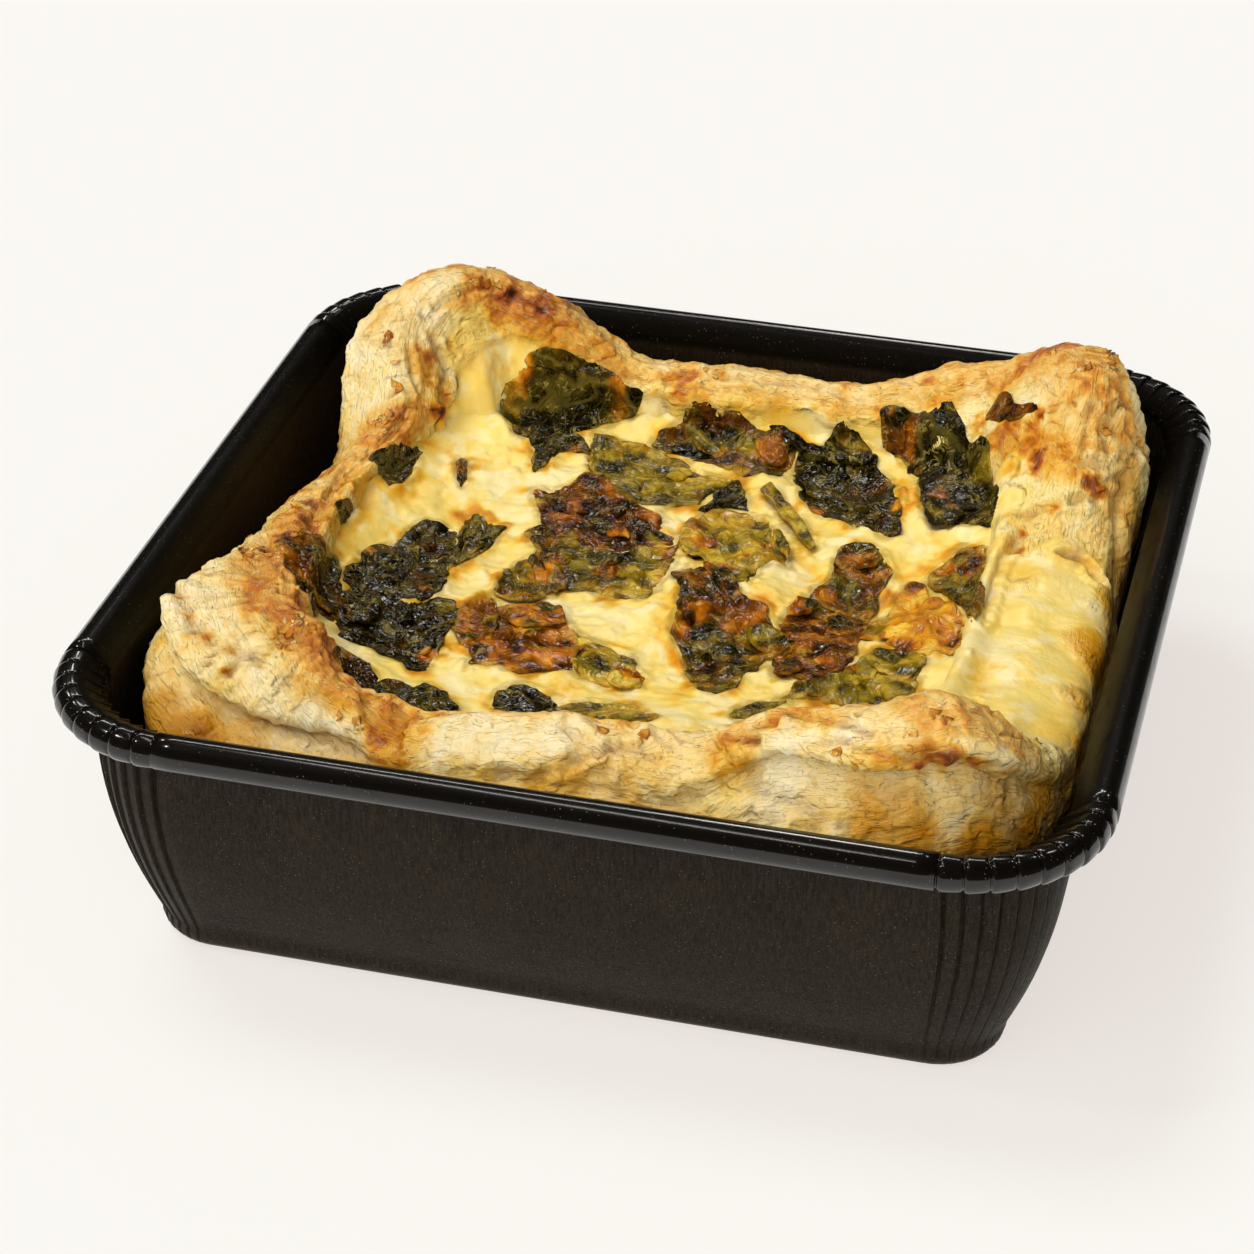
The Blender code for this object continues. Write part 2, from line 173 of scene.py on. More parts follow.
class Finish:
    """A material whose nodes are written as expressions."""

    def __init__(self, name):
        self.made = bpy.data.materials.new(name)
        self.made.use_nodes = True
        self.tree = self.made.node_tree
        self.shader = self.tree.nodes["Principled BSDF"]
        self.place = self.node("TexCoord", {}, out="Object")

    def put(self, socket, value):
        """Links a wire to the socket or sets its value; None leaves it as it is."""
        if isinstance(value, Wire):
            self.tree.links.new(value.socket, socket)
        elif value is not None:
            if isinstance(value, tuple) and len(value) == 3 and socket.type == "RGBA":
                value = (*value, 1.0)
            socket.default_value = value

    def node(self, kind, settings, *values, out=0, **named):
        """A shader node: its settings are set first, then its sockets in order or by name."""
        made = self.tree.nodes.new("ShaderNode" + kind)
        for key, value in settings.items():
            setattr(made, key, value)
        for socket, value in zip(made.inputs, values):
            self.put(socket, value)
        for key, value in named.items():
            self.put(made.inputs[key.replace("_", " ")], value)
        return Wire(self, made.outputs[out])

    def stretch(self, size, spot=None):
        """The place on the piece, in cells of one size or of x, y and z millimetres."""
        scale = tuple(1 / (side * MM) for side in np.broadcast_to(size, 3).tolist())
        return self.node("Mapping", {"vector_type": "POINT"}, spot or self.place, Scale=scale)

    def noise(self, size, detail=2.0, rough=0.5, twist=0.0, spot=None):
        """Noise from 0 to 1 with lumps of about size millimetres."""
        return self.node("TexNoise", {}, Vector=self.stretch(size, spot), Scale=1.0, Detail=detail,
                         Roughness=rough, Distortion=twist)

    def cells(self, size, feature="F1", spot=None):
        """Distance in a pattern of scattered cells of about size millimetres."""
        return self.node("TexVoronoi", {"feature": feature}, Vector=self.stretch(size, spot), Scale=1.0,
                         Randomness=1.0, out="Distance")

    def bent(self, size, push, spot=None):
        """The place on the piece, pushed about by up to push millimetres, in swirls of the size."""
        swirl = self.node("TexNoise", {}, Vector=self.stretch(size, spot), Scale=1.0, Detail=2.0,
                          out="Color")
        reach = 2 * push * MM
        return self.node("VectorMath", {"operation": "MULTIPLY_ADD"}, swirl, (reach, reach, reach),
                         spot or self.place)

    def creased(self, size, detail, twist, spot, low, high):
        """1 along the lines where a noise crosses its middle, 0 from low on both sides of them."""
        return (self.noise(size, detail, 0.5, twist, spot) - 0.5).absolute().span(low, high)

    def attribute(self, name, out="Fac"):
        """A value that the piece's points carry."""
        return self.node("Attribute", {"attribute_name": name}, out=out)

    def mix(self, part, first, second):
        """Colours mixed: first where part is 0, second where it is 1."""
        made = self.tree.nodes.new("ShaderNodeMix")
        made.data_type = "RGBA"
        made.clamp_result = False
        for slot, value in ((0, part), (6, first), (7, second)):
            self.put(made.inputs[slot], value)
        return Wire(self, made.outputs[2])

    def ramp(self, value, *stops):
        """A colour from stops of a position and a colour as seen on screen."""
        made = self.tree.nodes.new("ShaderNodeValToRGB")
        band = made.color_ramp
        while len(band.elements) < len(stops):
            band.elements.new(0.5)
        for element, (position, *colour) in zip(band.elements, stops):
            element.position = position
            element.color = (*from_screen(*colour), 1.0)
        self.put(made.inputs[0], value)
        return Wire(self, made.outputs[0])

    def relief(self, *layers, under=None):
        """Bumps on top of each other: pairs of a height from 0 to 1 and a depth in millimetres."""
        for height, depth in layers:
            under = self.node("Bump", {}, Strength=1.0, Distance=depth * MM, Height=height, Normal=under)
        return under

    def finish(self, **sockets):
        """The material, with its shader's sockets set."""
        for key, value in sockets.items():
            self.put(self.shader.inputs[key.replace("_", " ")], value)
        return self.made


def from_screen(red, green, blue):
    """A colour as seen on screen, 0 to 255, as the light the shader wants."""
    seen = np.array((red, green, blue)) / 255
    return tuple(float(v) for v in np.where(seen <= 0.04045, seen / 12.92, ((seen + 0.055) / 1.055) ** 2.4))


# ---------------- relief
def chance(cell, seed):
    """Repeatable random numbers from 0 to 1, one for each whole-numbered cell."""
    mixed = cell[..., 0] * 73856093 ^ cell[..., 1] * 19349663 ^ cell[..., 2] * 83492791 ^ seed * 26544357
    for _ in range(2):
        mixed = mixed & 0xFFFFFFFF
        mixed = (mixed ^ mixed >> 16) * 0x45D9F3B
    mixed = mixed & 0xFFFFFFFF
    return (mixed ^ mixed >> 16) / 0xFFFFFFFF


def noise(points, size, seed=0):
    """Smooth relief from about -1 to 1, with lumps of about the size."""
    spot = points / np.asarray(size, float)
    cell = np.floor(spot).astype(np.int64)
    part = spot - cell
    ease = part ** 3 * (part * (part * 6 - 15) + 10)
    total = 0
    for corner in product((0, 1), repeat=3):
        there = cell + np.array(corner)
        slope = np.stack([chance(there, seed + k) for k in (11, 23, 37)], -1) * 2 - 1
        weight = np.prod(np.where(np.array(corner) == 1, ease, 1 - ease), axis=-1)
        total = total + weight * np.sum(slope * (part - np.array(corner)), axis=-1)
    return 1.6 * total


def swirl(points, size, *seeds):
    """Noise in several directions, one for each seed."""
    return np.stack([noise(points, size, seed) for seed in seeds], -1)


def rough(points, size, octaves=3, seed=0, fold=False):
    """Noise on noise, each half as wide and half as high; folded, it has sharp creases."""
    total, scale = 0, 0
    for step in range(octaves):
        layer = noise(points + 17.3 * step, np.asarray(size, float) / 2 ** step, seed + 101 * step)
        if fold:
            layer = 1 - 2.4 * np.abs(layer)
        total = total + layer / 2 ** step
        scale += 1 / 2 ** step
    return total / scale


def nearest(points, size, seed=0):
    """Distance to the nearest of scattered points, one in each cell of the size, and its own chance."""
    spot = points / np.asarray(size, float)
    cell = np.floor(spot).astype(np.int64)
    best = np.full(spot.shape[:-1], 9.0)
    own = np.zeros(spot.shape[:-1])
    for step in product((-1, 0, 1), repeat=3):
        there = cell + np.array(step)
        home = there + np.stack([chance(there, seed + k) for k in (3, 5, 7)], -1)
        away = np.linalg.norm(spot - home, axis=-1)
        own = np.where(away < best, chance(there, seed + 9), own)
        best = np.minimum(best, away)
    return best, own


def dots(points, size, seed, reach, near, rare):
    """Scattered round dots: 1 within near, 0 past the reach, on the rarer of the nearest points."""
    away, own = nearest(points, size, seed)
    return smooth(away, reach, near) * (own > rare)


def smooth(value, low, high):
    """0 at low, 1 at high, smooth in between."""
    part = np.clip((value - low) / (high - low), 0, 1)
    return part * part * (3 - 2 * part)


def bell(value, middle, spread):
    """1 at the middle, falling off within the spread."""
    return np.exp(-((value - middle) / spread) ** 2)


def from_line(points, line):
    """Distance of points from a line through corners."""
    best = np.full(points.shape[:-1], 1e9)
    for start, end in zip(line[:-1], line[1:]):
        run = end - start
        part = np.clip((points - start) @ run / (run @ run), 0, 1)
        best = np.minimum(best, np.linalg.norm(points - start - part[..., None] * run, axis=-1))
    return best


def grid_normals(points):
    """Normals of a grid of points whose columns close on themselves."""
    along = np.roll(points, -1, axis=1) - np.roll(points, 1, axis=1)
    across = np.gradient(points, axis=0)
    normals = np.cross(along, across)
    return normals / np.maximum(np.linalg.norm(normals, axis=-1, keepdims=True), 1e-9)


# ---------------- meshes
def stand(name, data):
    """A new object of the data, in the scene."""
    made = bpy.data.objects.new(name, data)
    bpy.context.scene.collection.objects.link(made)
    return made


def give(mesh, **fields):
    """Named values on the mesh's points: one number or a vector for each."""
    for key, values in fields.items():
        flat = np.asarray(values, float).ravel()
        kind, part = ("FLOAT", "value") if len(flat) == len(mesh.vertices) else ("FLOAT_VECTOR", "vector")
        mesh.attributes.new(key, kind, "POINT").data.foreach_set(part, flat)


def read(made, name, part, width=3):
    """What the piece's points carry, one row for each."""
    flat = np.zeros(len(made.data.vertices) * width)
    made.data.attributes[name].data.foreach_get(part, flat)
    return flat.reshape(-1, width)


def piece(name, points, faces, finish, **fields):
    """A smooth mesh object from points in millimetres, with named values on its points."""
    mesh = bpy.data.meshes.new(name)
    mesh.from_pydata((np.asarray(points, float) * MM).tolist(), [], faces)
    mesh.validate()
    give(mesh, **fields)
    mesh.materials.append(finish)
    mesh.shade_smooth()
    return stand(name, mesh)


def grid_faces(rows, count):
    """Faces between rows of a grid whose columns close on themselves, and its two end points."""
    low = np.arange(rows - 1)[:, None] * count + np.arange(count)
    side = np.arange(rows - 1)[:, None] * count + (np.arange(count) + 1) % count
    faces = np.stack([low, side, side + count, low + count], -1).reshape(-1, 4).tolist()
    first, last = rows * count, rows * count + 1
    top = (rows - 1) * count
    for i in range(count):
        j = (i + 1) % count
        faces.append((j, i, first))
        faces.append((top + i, top + j, last))
    return faces


def closed_piece(name, points, ends, finish, **fields):
    """A piece of rings of points, closed by two end points, where each value is 0."""
    rows, count = points.shape[:2]
    for key, values in fields.items():
        whole = np.broadcast_to(values, (rows, count) + np.shape(values)[2:]).reshape(rows * count, -1)
        fields[key] = np.vstack([whole, np.zeros((2, whole.shape[1]))])
    return piece(name, np.vstack([points.reshape(-1, 3), ends]), grid_faces(rows, count), finish, **fields)


def wear(made, node):
    """The piece rides on the only body and stands for its solid, which is hidden."""
    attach(made, "root")
    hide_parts(node)
    return made


# ---------------- tray
def quarter_turned(x, y, side):
    """Places on the front side, turned to their own side."""
    turn = side * pi / 2
    return x * np.cos(turn) - y * np.sin(turn), x * np.sin(turn) + y * np.cos(turn)


def tray_stations():
    """Side, part along the straight, corner angle, depth in the pleat and in the rim's fold."""
    stations = []
    for side in range(4):
        for along in np.linspace(-1, 1, STRAIGHT_SPANS + 1):
            stations.append((side, along, 0.0, 0.0, 0.0))
        for fold in range(PLEATS):
            for part, pleat, lap in PLEAT_SHAPE:
                stations.append((side, 1.0, (fold + part) / PLEATS * pi / 2, pleat, lap))
    return np.array(stations)


def tray_ring(inset, height, corner, pleat, lap=0.0, drop=0.0):
    """One ring round the tray, its corners drawn in by the pleats and the rim's folds."""
    side, along, angle, folded, lapped = tray_stations().T
    half = TRAY_SIDE / 2 - inset
    radius = corner - pleat * folded - lap * lapped
    x = along * (half - corner) + radius * np.sin(angle)
    y = -(half - corner) - radius * np.cos(angle)
    return np.stack([*quarter_turned(x, y, side), height - drop * lapped], -1)


def wall_inset(height):
    """How far the wall is inside the tray's side at a height."""
    return WALL_INSET + WALL_DRAFT * (1 - np.clip(height / WALL_TOP, 0, 1)) ** WALL_CURVE


def wall_corner(height):
    """Radius of the wall's corners at a height."""
    return CORNER_LOW + CORNER_GAIN * np.clip(height / WALL_TOP, 0.004, 1) ** CORNER_CURVE


def wall_ring(height, inward=0.0):
    """A ring of the wall, with pleats that deepen upwards."""
    depth = PLEAT_DEEP * np.clip(height / WALL_TOP, 0, 1) ** 0.6
    return tray_ring(wall_inset(height) + inward, height, wall_corner(height) - inward, depth)


def make_tray(finish):
    """The tray: up the outside, round the rolled rim, and down the inside to the floor."""
    edge = wall_inset(BASE_ROUND)
    corner = wall_corner(BASE_ROUND)
    rings = []
    for turn in np.linspace(0, pi / 2, 6):
        inset = BASE_ROUND * BASE_BEND * (1 - np.sin(turn)) ** 1.3
        height = BASE_ROUND * (1 - np.cos(turn))
        rings.append(tray_ring(edge + inset, height, corner - inset, 0.25 * height / BASE_ROUND))
    rings += [wall_ring(height) for height in np.linspace(BASE_ROUND, WALL_TOP, 15)[1:]]
    first = len(rings)
    around = np.arange(52, 312, 10)
    for turn in np.radians(-around):
        inset = BEAD + BEAD * np.cos(turn)
        height = TRAY_HEIGHT - BEAD + BEAD * np.sin(turn)
        rings.append(tray_ring(inset, height, RIM_CORNER - inset, 0.0,
                               -RIM_LAP * np.cos(turn), RIM_LAP * np.sin(turn)))
    for rise, inward in ((2.6, 0.1), (2.0, -0.25), (1.0, 0.15)):
        rings.append(wall_ring(WALL_TOP + rise, BOARD + inward))
    rings += [wall_ring(height, BOARD) for height in np.linspace(WALL_TOP, BASE_ROUND + 1.5, 12)]
    for turn in np.linspace(pi / 2, 0, 5):
        inset = BASE_ROUND * BASE_BEND * (1 - np.sin(turn)) ** 1.3
        height = FLOOR + (BASE_ROUND + 0.2 - FLOOR) * (1 - np.cos(turn))
        rings.append(tray_ring(edge + inset + BOARD, height, corner - inset - BOARD * 0.4, 0.1))
    coat = np.zeros((len(rings), 1))
    coat[first:first + len(around), 0] = smooth(around, 70, 110) * smooth(around, 305, 275)
    inside = np.arange(len(rings))[:, None] >= first + len(around)
    return closed_piece("baking_tray", np.array(rings), [(0, 0, 0), (0, 0, FLOOR)], finish,
                        rim=coat, inside=inside)


# ---------------- pastry case
# Cracks and folds of the crust: depth, width, darkness, then x, y and z of places it runs through
CREASES = (
    (0.9, 0.9, 0.55, -67, -38, 47, -63, -43, 46, -60, -47, 46, -56, -49, 44, -52, -50, 44, -49, -50, 43),
    (0.8, 1.1, 0.18, -49, -50, 43, -44, -52, 42, -39, -52, 40, -35, -54, 39),
    (0.6, 0.5, 0.45, -59, -30, 47, -56, -38, 47, -55, -42, 48, -52, -45, 47, -48, -46, 45, -44, -48, 45,
     -41, -48, 43),
    (0.4, 0.45, 0.35, -56, -36, 48, -53, -42, 48, -49, -44, 47, -45, -46, 45, -43, -46, 45),
    (0.5, 0.5, 0.4, -49, -42, 48, -46, -43, 48, -43, -45, 47, -42, -46, 45, -40, -47, 44),
    (0.4, 0.5, 0.3, -51, -32, 48, -49, -37, 48, -52, -40, 49, -55, -38, 48),
    (0.4, 0.5, 0.3, -53, -42, 48, -50, -40, 48, -47, -40, 48),
    (0.5, 0.6, 0.35, -60, -17, 44, -55, -27, 47, -50, -34, 47, -47, -34, 43, -47, -30, 39),
    (0.7, 0.7, 0.9, -61, -49, 46, -59, -47, 45),
    (0.5, 0.4, 0.7, -56, -53, 43, -56, -51, 44, -55, -49, 44),
    (0.8, 0.7, 0.8, -54, -53, 41, -52, -53, 43, -52, -51, 43),
    (1, 1.6, 0.3, -42, -37, 38, -37, -42, 37, -31, -53, 39, -28, -56, 38),
    (0.5, 0.7, 0.35, -40, -35, 36, -35, -42, 36, -28, -53, 39, -25, -58, 38),
    (0.6, 0.9, 0.3, -28, -49, 40, -26, -54, 39, -25, -59, 38),
    (0.9, 0.7, 0.55, 24, -59, 48, 26, -58, 49, 29, -58, 51, 31, -57, 52, 34, -57, 52, 37, -57, 52, 41, -59,
     53, 43, -60, 53),
    (1, 0.9, 0.85, 25, -59, 48, 27, -60, 49),
    (0.6, 0.5, 0.45, 36, -60, 50, 39, -60, 51, 41, -61, 51, 45, -62, 51, 48, -62, 52),
    (0.4, 0.45, 0.2, 14, -55, 45, 19, -58, 45, 24, -61, 48),
    (0.4, 0.45, 0.25, 8, -55, 45, 12, -56, 45, 15, -58, 45),
    (0.7, 0.8, 0.3, 5, -61, 44, 8, -59, 44, 11, -59, 44, 13, -60, 43),
    (0.8, 1, 0.22, -9, -63, 39, -3, -63, 40, 1, -62, 42, 4, -61, 44, 1, -59, 45, -1, -57, 45),
    (0.7, 1, 0.25, 27, -60, 45, 27, -61, 43, 30, -63, 42, 34, -64, 42, 38, -65, 41),
    (0.5, 0.9, 0.15, 41, -60, 45, 45, -62, 45, 52, -61, 44, 53, -61, 43),
    (0.5, 0.5, 0.35, 53, -26, 39, 58, -48, 51, 60, -48, 50, 61, -48, 48),
    (0.4, 0.5, 0.3, 58, -53, 53, 60, -51, 50, 62, -47, 47, 65, -46, 45),
    (0.9, 0.9, 0.6, 48, -62, 51, 51, -61, 51, 54, -60, 51, 56, -59, 50, 59, -57, 49, 61, -56, 47),
    (0.8, 0.55, 0.4, 58, 51, 59, 58, 45, 60, 60, 42, 58, 60, 40, 56, 59, 38, 55, 59, 36, 53, 59, 35, 50),
    (0.7, 0.5, 0.35, 59, 54, 59, 61, 47, 59, 62, 42, 58, 62, 40, 56, 61, 38, 54, 61, 36, 52),
    (0.8, 0.55, 0.4, 60, 52, 59, 62, 46, 59, 63, 45, 56, 63, 41, 55, 62, 38, 53, 62, 36, 52, 63, 36, 49),
    (0.6, 0.5, 0.4, 64, 42, 55, 65, 41, 54, 65, 40, 51, 65, 38, 49, 64, 36, 48),
    (0.6, 0.5, 0.35, 65, 44, 53, 66, 45, 50, 67, 43, 48),
    (0.6, 0.5, 0.35, 59, 40, 56, 60, 38, 55, 60, 36, 53, 59, 34, 50),
    (0.6, 0.7, 0.25, 55, 35, 49, 58, 33, 48, 61, 33, 48, 65, 35, 48),
    (0.8, 0.8, 0.5, 51, 26, 42, 54, 27, 42, 57, 28, 43, 60, 29, 44, 62, 30, 44),
    (0.6, 0.7, 0.45, 60, 30, 46, 62, 32, 46, 65, 35, 46),
    (1.7, 0.8, 0.6, 59, 18, 40, 61, 19, 39, 63, 18, 38, 65, 15, 38),
    (0.7, 0.7, 0.35, 52, 23, 40, 51, 19, 40, 50, 15, 40, 50, 9, 40, 50, 2, 40, 50, -5, 39),
    (0.6, 0.7, 0.35, -50, 44, 53, -51, 45, 55, -49, 47, 56, -46, 51, 57, -42, 53, 57),
    (0.8, 0.8, 0.55, -51, 42, 51, -49, 41, 48, -48, 40, 46, -48, 37, 44, -48, 36, 43),
    (0.5, 0.6, 0.3, -53, 37, 51, -52, 35, 48, -50, 33, 46),
    (0.5, 0.5, 0.35, -48, 43, 50, -47, 43, 48),
    (0.6, 0.7, 0.4, -33, 55, 54, -30, 58, 51, -28, 61, 49, -25, 56, 49, -22, 57, 46),
    (0.8, 0.9, 0.4, -48, 37, 43, -47, 37, 41, -45, 35, 38, -43, 31, 37),
    (0.8, 0.8, 0.4, -13, 53, 43, -13, 50, 42, -12, 49, 40),
    (0.5, 0.6, 0.25, 4, 53, 45, 9, 54, 45, 15, 53, 45, 18, 52, 44),
    (0.5, 0.6, 0.2, -7, 53, 45, -1, 53, 45, 4, 54, 45),
    (0.5, 0.4, 0.35, -45, -45, 47, -44, -46, 45, -43, -48, 45),
    (0.5, 0.4, 0.35, -45, -43, 47, -43, -45, 46, -41, -48, 44),
    (0.5, 0.4, 0.3, -47, -45, 46, -45, -47, 45, -43, -49, 45),
    (0.5, 0.4, 0.3, -49, -44, 47, -47, -44, 47, -45, -45, 47),
    (0.6, 0.5, 0.3, -64, -34, 47, -62, -33, 47, -60, -32, 48, -60, -26, 46, -60, -22, 45),
    (0.5, 0.4, 0.3, -64, -28, 46, -61, -28, 47, -59, -29, 47),
    (0.5, 0.4, 0.3, -63, -17, 43, -62, -20, 44, -59, -24, 46),
    (0.4, 0.4, 0.25, 54, -53, 55, 56, -52, 54, 58, -52, 53),
    (0.5, 0.4, 0.3, 59, -48, 50, 61, -50, 50, 62, -48, 48, 65, -47, 45),
    (0.4, 0.4, 0.3, 63, -46, 46, 64, -43, 43, 66, -44, 41),
    (0.6, 0.6, 0.4, 62, -55, 47, 62, -51, 43, 61, -53, 42),
    (0.5, 0.5, 0.3, 42, -63, 44, 43, -63, 43, 44, -64, 43),
    (0.6, 0.7, 0.25, 28, -65, 40, 32, -65, 40, 37, -66, 40, 42, -65, 41),
    (0.4, 0.35, 0.7, 5, -61, 43, 6, -60, 44, 7, -60, 44),
    (0.4, 0.4, 0.3, -57, 41, 54, -54, 42, 55, -51, 44, 54, -49, 44, 54),
    (0.4, 0.4, 0.3, -63, 41, 51, -60, 38, 51, -57, 37, 51, -55, 37, 52),
    (0.4, 0.4, 0.3, -58, 39, 53, -58, 37, 51),
    (0.6, 0.5, 0.5, -56, 30, 44, -55, 30, 45, -54, 31, 46),
    (0.6, 0.5, 0.4, -58, 19, 41, -57, 15, 41, -57, 12, 41),
    (0.5, 0.5, 0.4, -57, 11, 41, -56, 4, 42, -56, 1, 42),
    (0.4, 0.4, 0.3, -64, -3, 40, -61, -4, 42, -60, 1, 42, -58, 4, 42),
    (0.4, 0.4, 0.25, 53, 40, 53, 55, 40, 55, 57, 39, 56),
    (0.4, 0.4, 0.25, 56, 34, 49, 58, 33, 50, 61, 34, 49),
    (0.4, 0.4, 0.3, 52, 38, 51, 54, 36, 50, 56, 34, 50),
    (0.6, 0.5, 0.7, 66, 40, 50, 66, 40, 48, 67, 40, 47),
    (0.6, 0.5, 0.5, 64, 42, 55, 65, 44, 53, 66, 42, 52),
    (0.4, 0.4, 0.25, 41, 51, 50, 43, 52, 52, 45, 51, 53),
    (0.4, 0.4, 0.25, 39, 53, 51, 42, 55, 53, 49, 52, 57),
    (0.7, 0.5, 0.7, 51, 17, 39, 52, 18, 40, 52, 22, 39),
    (0.5, 0.4, 0.5, 50, 9, 40, 50, 11, 39),
)

# Scorched spots: x, y, z, radius, strength in hundredths
SCORCHES = (
    (-40, 53, 55, 2.2, 95), (-35, 53, 54, 2.9, 80), (-42, 51, 55, 3.5, 55), (-31, 53, 51, 3.2, 45),
    (-38, 50, 52, 4.5, 30), (-28, 61, 49, 1.4, 60), (-24, 58, 47, 1.4, 60), (-50, 39, 49, 1.9, 55),
    (-52, 38, 51, 1.6, 40), (-47, 34, 42, 2.2, 80), (-47, 37, 43, 1.3, 50), (-54, 41, 55, 1.6, 30),
    (-53, 28, 45, 2.9, 35), (-53, 24, 43, 3.2, 35), (-55, -10, 44, 2.6, 75), (-56, -18, 46, 2.6, 65),
    (-57, -3, 43, 1.6, 80), (-57, -31, 48, 1.6, 30), (-65, -41, 46, 1, 70), (-62, -45, 46, 1, 65),
    (-58, -48, 45, 1, 50), (-54, -49, 44, 1.3, 40), (-60, -49, 46, 0.8, 90), (-53, -53, 43, 1, 80),
    (-34, -47, 39, 2.9, 30), (-29, -54, 39, 1.9, 40), (-39, -40, 38, 1.9, 30), (-26, -57, 38, 1.9, 40),
    (-27, -52, 39, 2.6, 30), (-62, -17, 44, 1.3, 30), (-64, -34, 47, 1.3, 35), (54, -60, 50, 2.1, 95),
    (50, -62, 50, 1.3, 70), (57, -58, 49, 1.9, 65), (26, -59, 48, 0.8, 90), (32, -57, 52, 1.3, 45),
    (29, -58, 51, 1.3, 45), (25, -62, 45, 2.2, 30), (44, -64, 43, 2.2, 25), (0, -63, 42, 1.9, 25),
    (15, -56, 45, 1.3, 20), (51, 41, 52, 1.3, 80), (50, 40, 50, 1.9, 50), (52, 36, 47, 1.9, 75),
    (52, 34, 46, 1.6, 55), (46, 40, 46, 3.8, 45), (41, 47, 46, 2.9, 50), (43, 42, 45, 2.2, 45),
    (61, 31, 46, 1.9, 65), (63, 31, 45, 1.3, 70), (56, 27, 43, 1.4, 45), (52, 18, 40, 1, 70),
    (52, 23, 40, 0.8, 80), (48, 35, 45, 2.2, 35), (44, 47, 49, 3.2, 40), (-9, 54, 44, 2.6, 50),
    (-4, 54, 45, 1.9, 35), (-10, 49, 43, 1.9, 50), (36, 52, 51, 2.2, 45), (40, 57, 52, 2.2, 40),
    (6, 49, 42, 1.4, 35), (13, 50, 43, 1.1, 35), (17, 49, 40, 1.3, 20), (13, 52, 44, 3.2, 20),
    (31, 53, 49, 1.9, 40), (8, 34, 36, 2.2, 30), (4, 36, 36, 1.6, 30), (8, 32, 35, 1.4, 42),
    (8, 31, 34, 1.1, 40), (16, -2, 36, 2.4, 50), (15, -4, 35, 1.9, 45), (38, 17, 35, 2.2, 42),
    (36, 15, 34, 1.6, 35), (9, 11, 35, 1.6, 20), (29, 39, 37, 2.2, 45), (27, 35, 36, 1.9, 30),
    (33, 32, 38, 2.2, 40), (42, -3, 37, 3.5, 55), (39, -7, 36, 2.2, 30), (16, -1, 36, 2.6, 35),
    (-28, -29, 35, 1.9, 35), (-31, -24, 35, 1.9, 25), (-19, 23, 35, 2.6, 40), (4, 47, 38, 1.6, 30),
    (47, 29, 42, 1.9, 20), (44, 5, 37, 2.6, 40), (35, 7, 34, 1.6, 30), (-19, -2, 34, 1.9, 30),
    (0, -29, 34, 2.6, 20), (-8, -33, 35, 3.5, 30), (-39, 24, 36, 1.6, 30), (-29, 34, 36, 1.9, 35),
    (34, 17, 35, 2.2, 20), (53, -22, 39, 2.2, 25), (54, -52, 56, 1.6, 30),
)
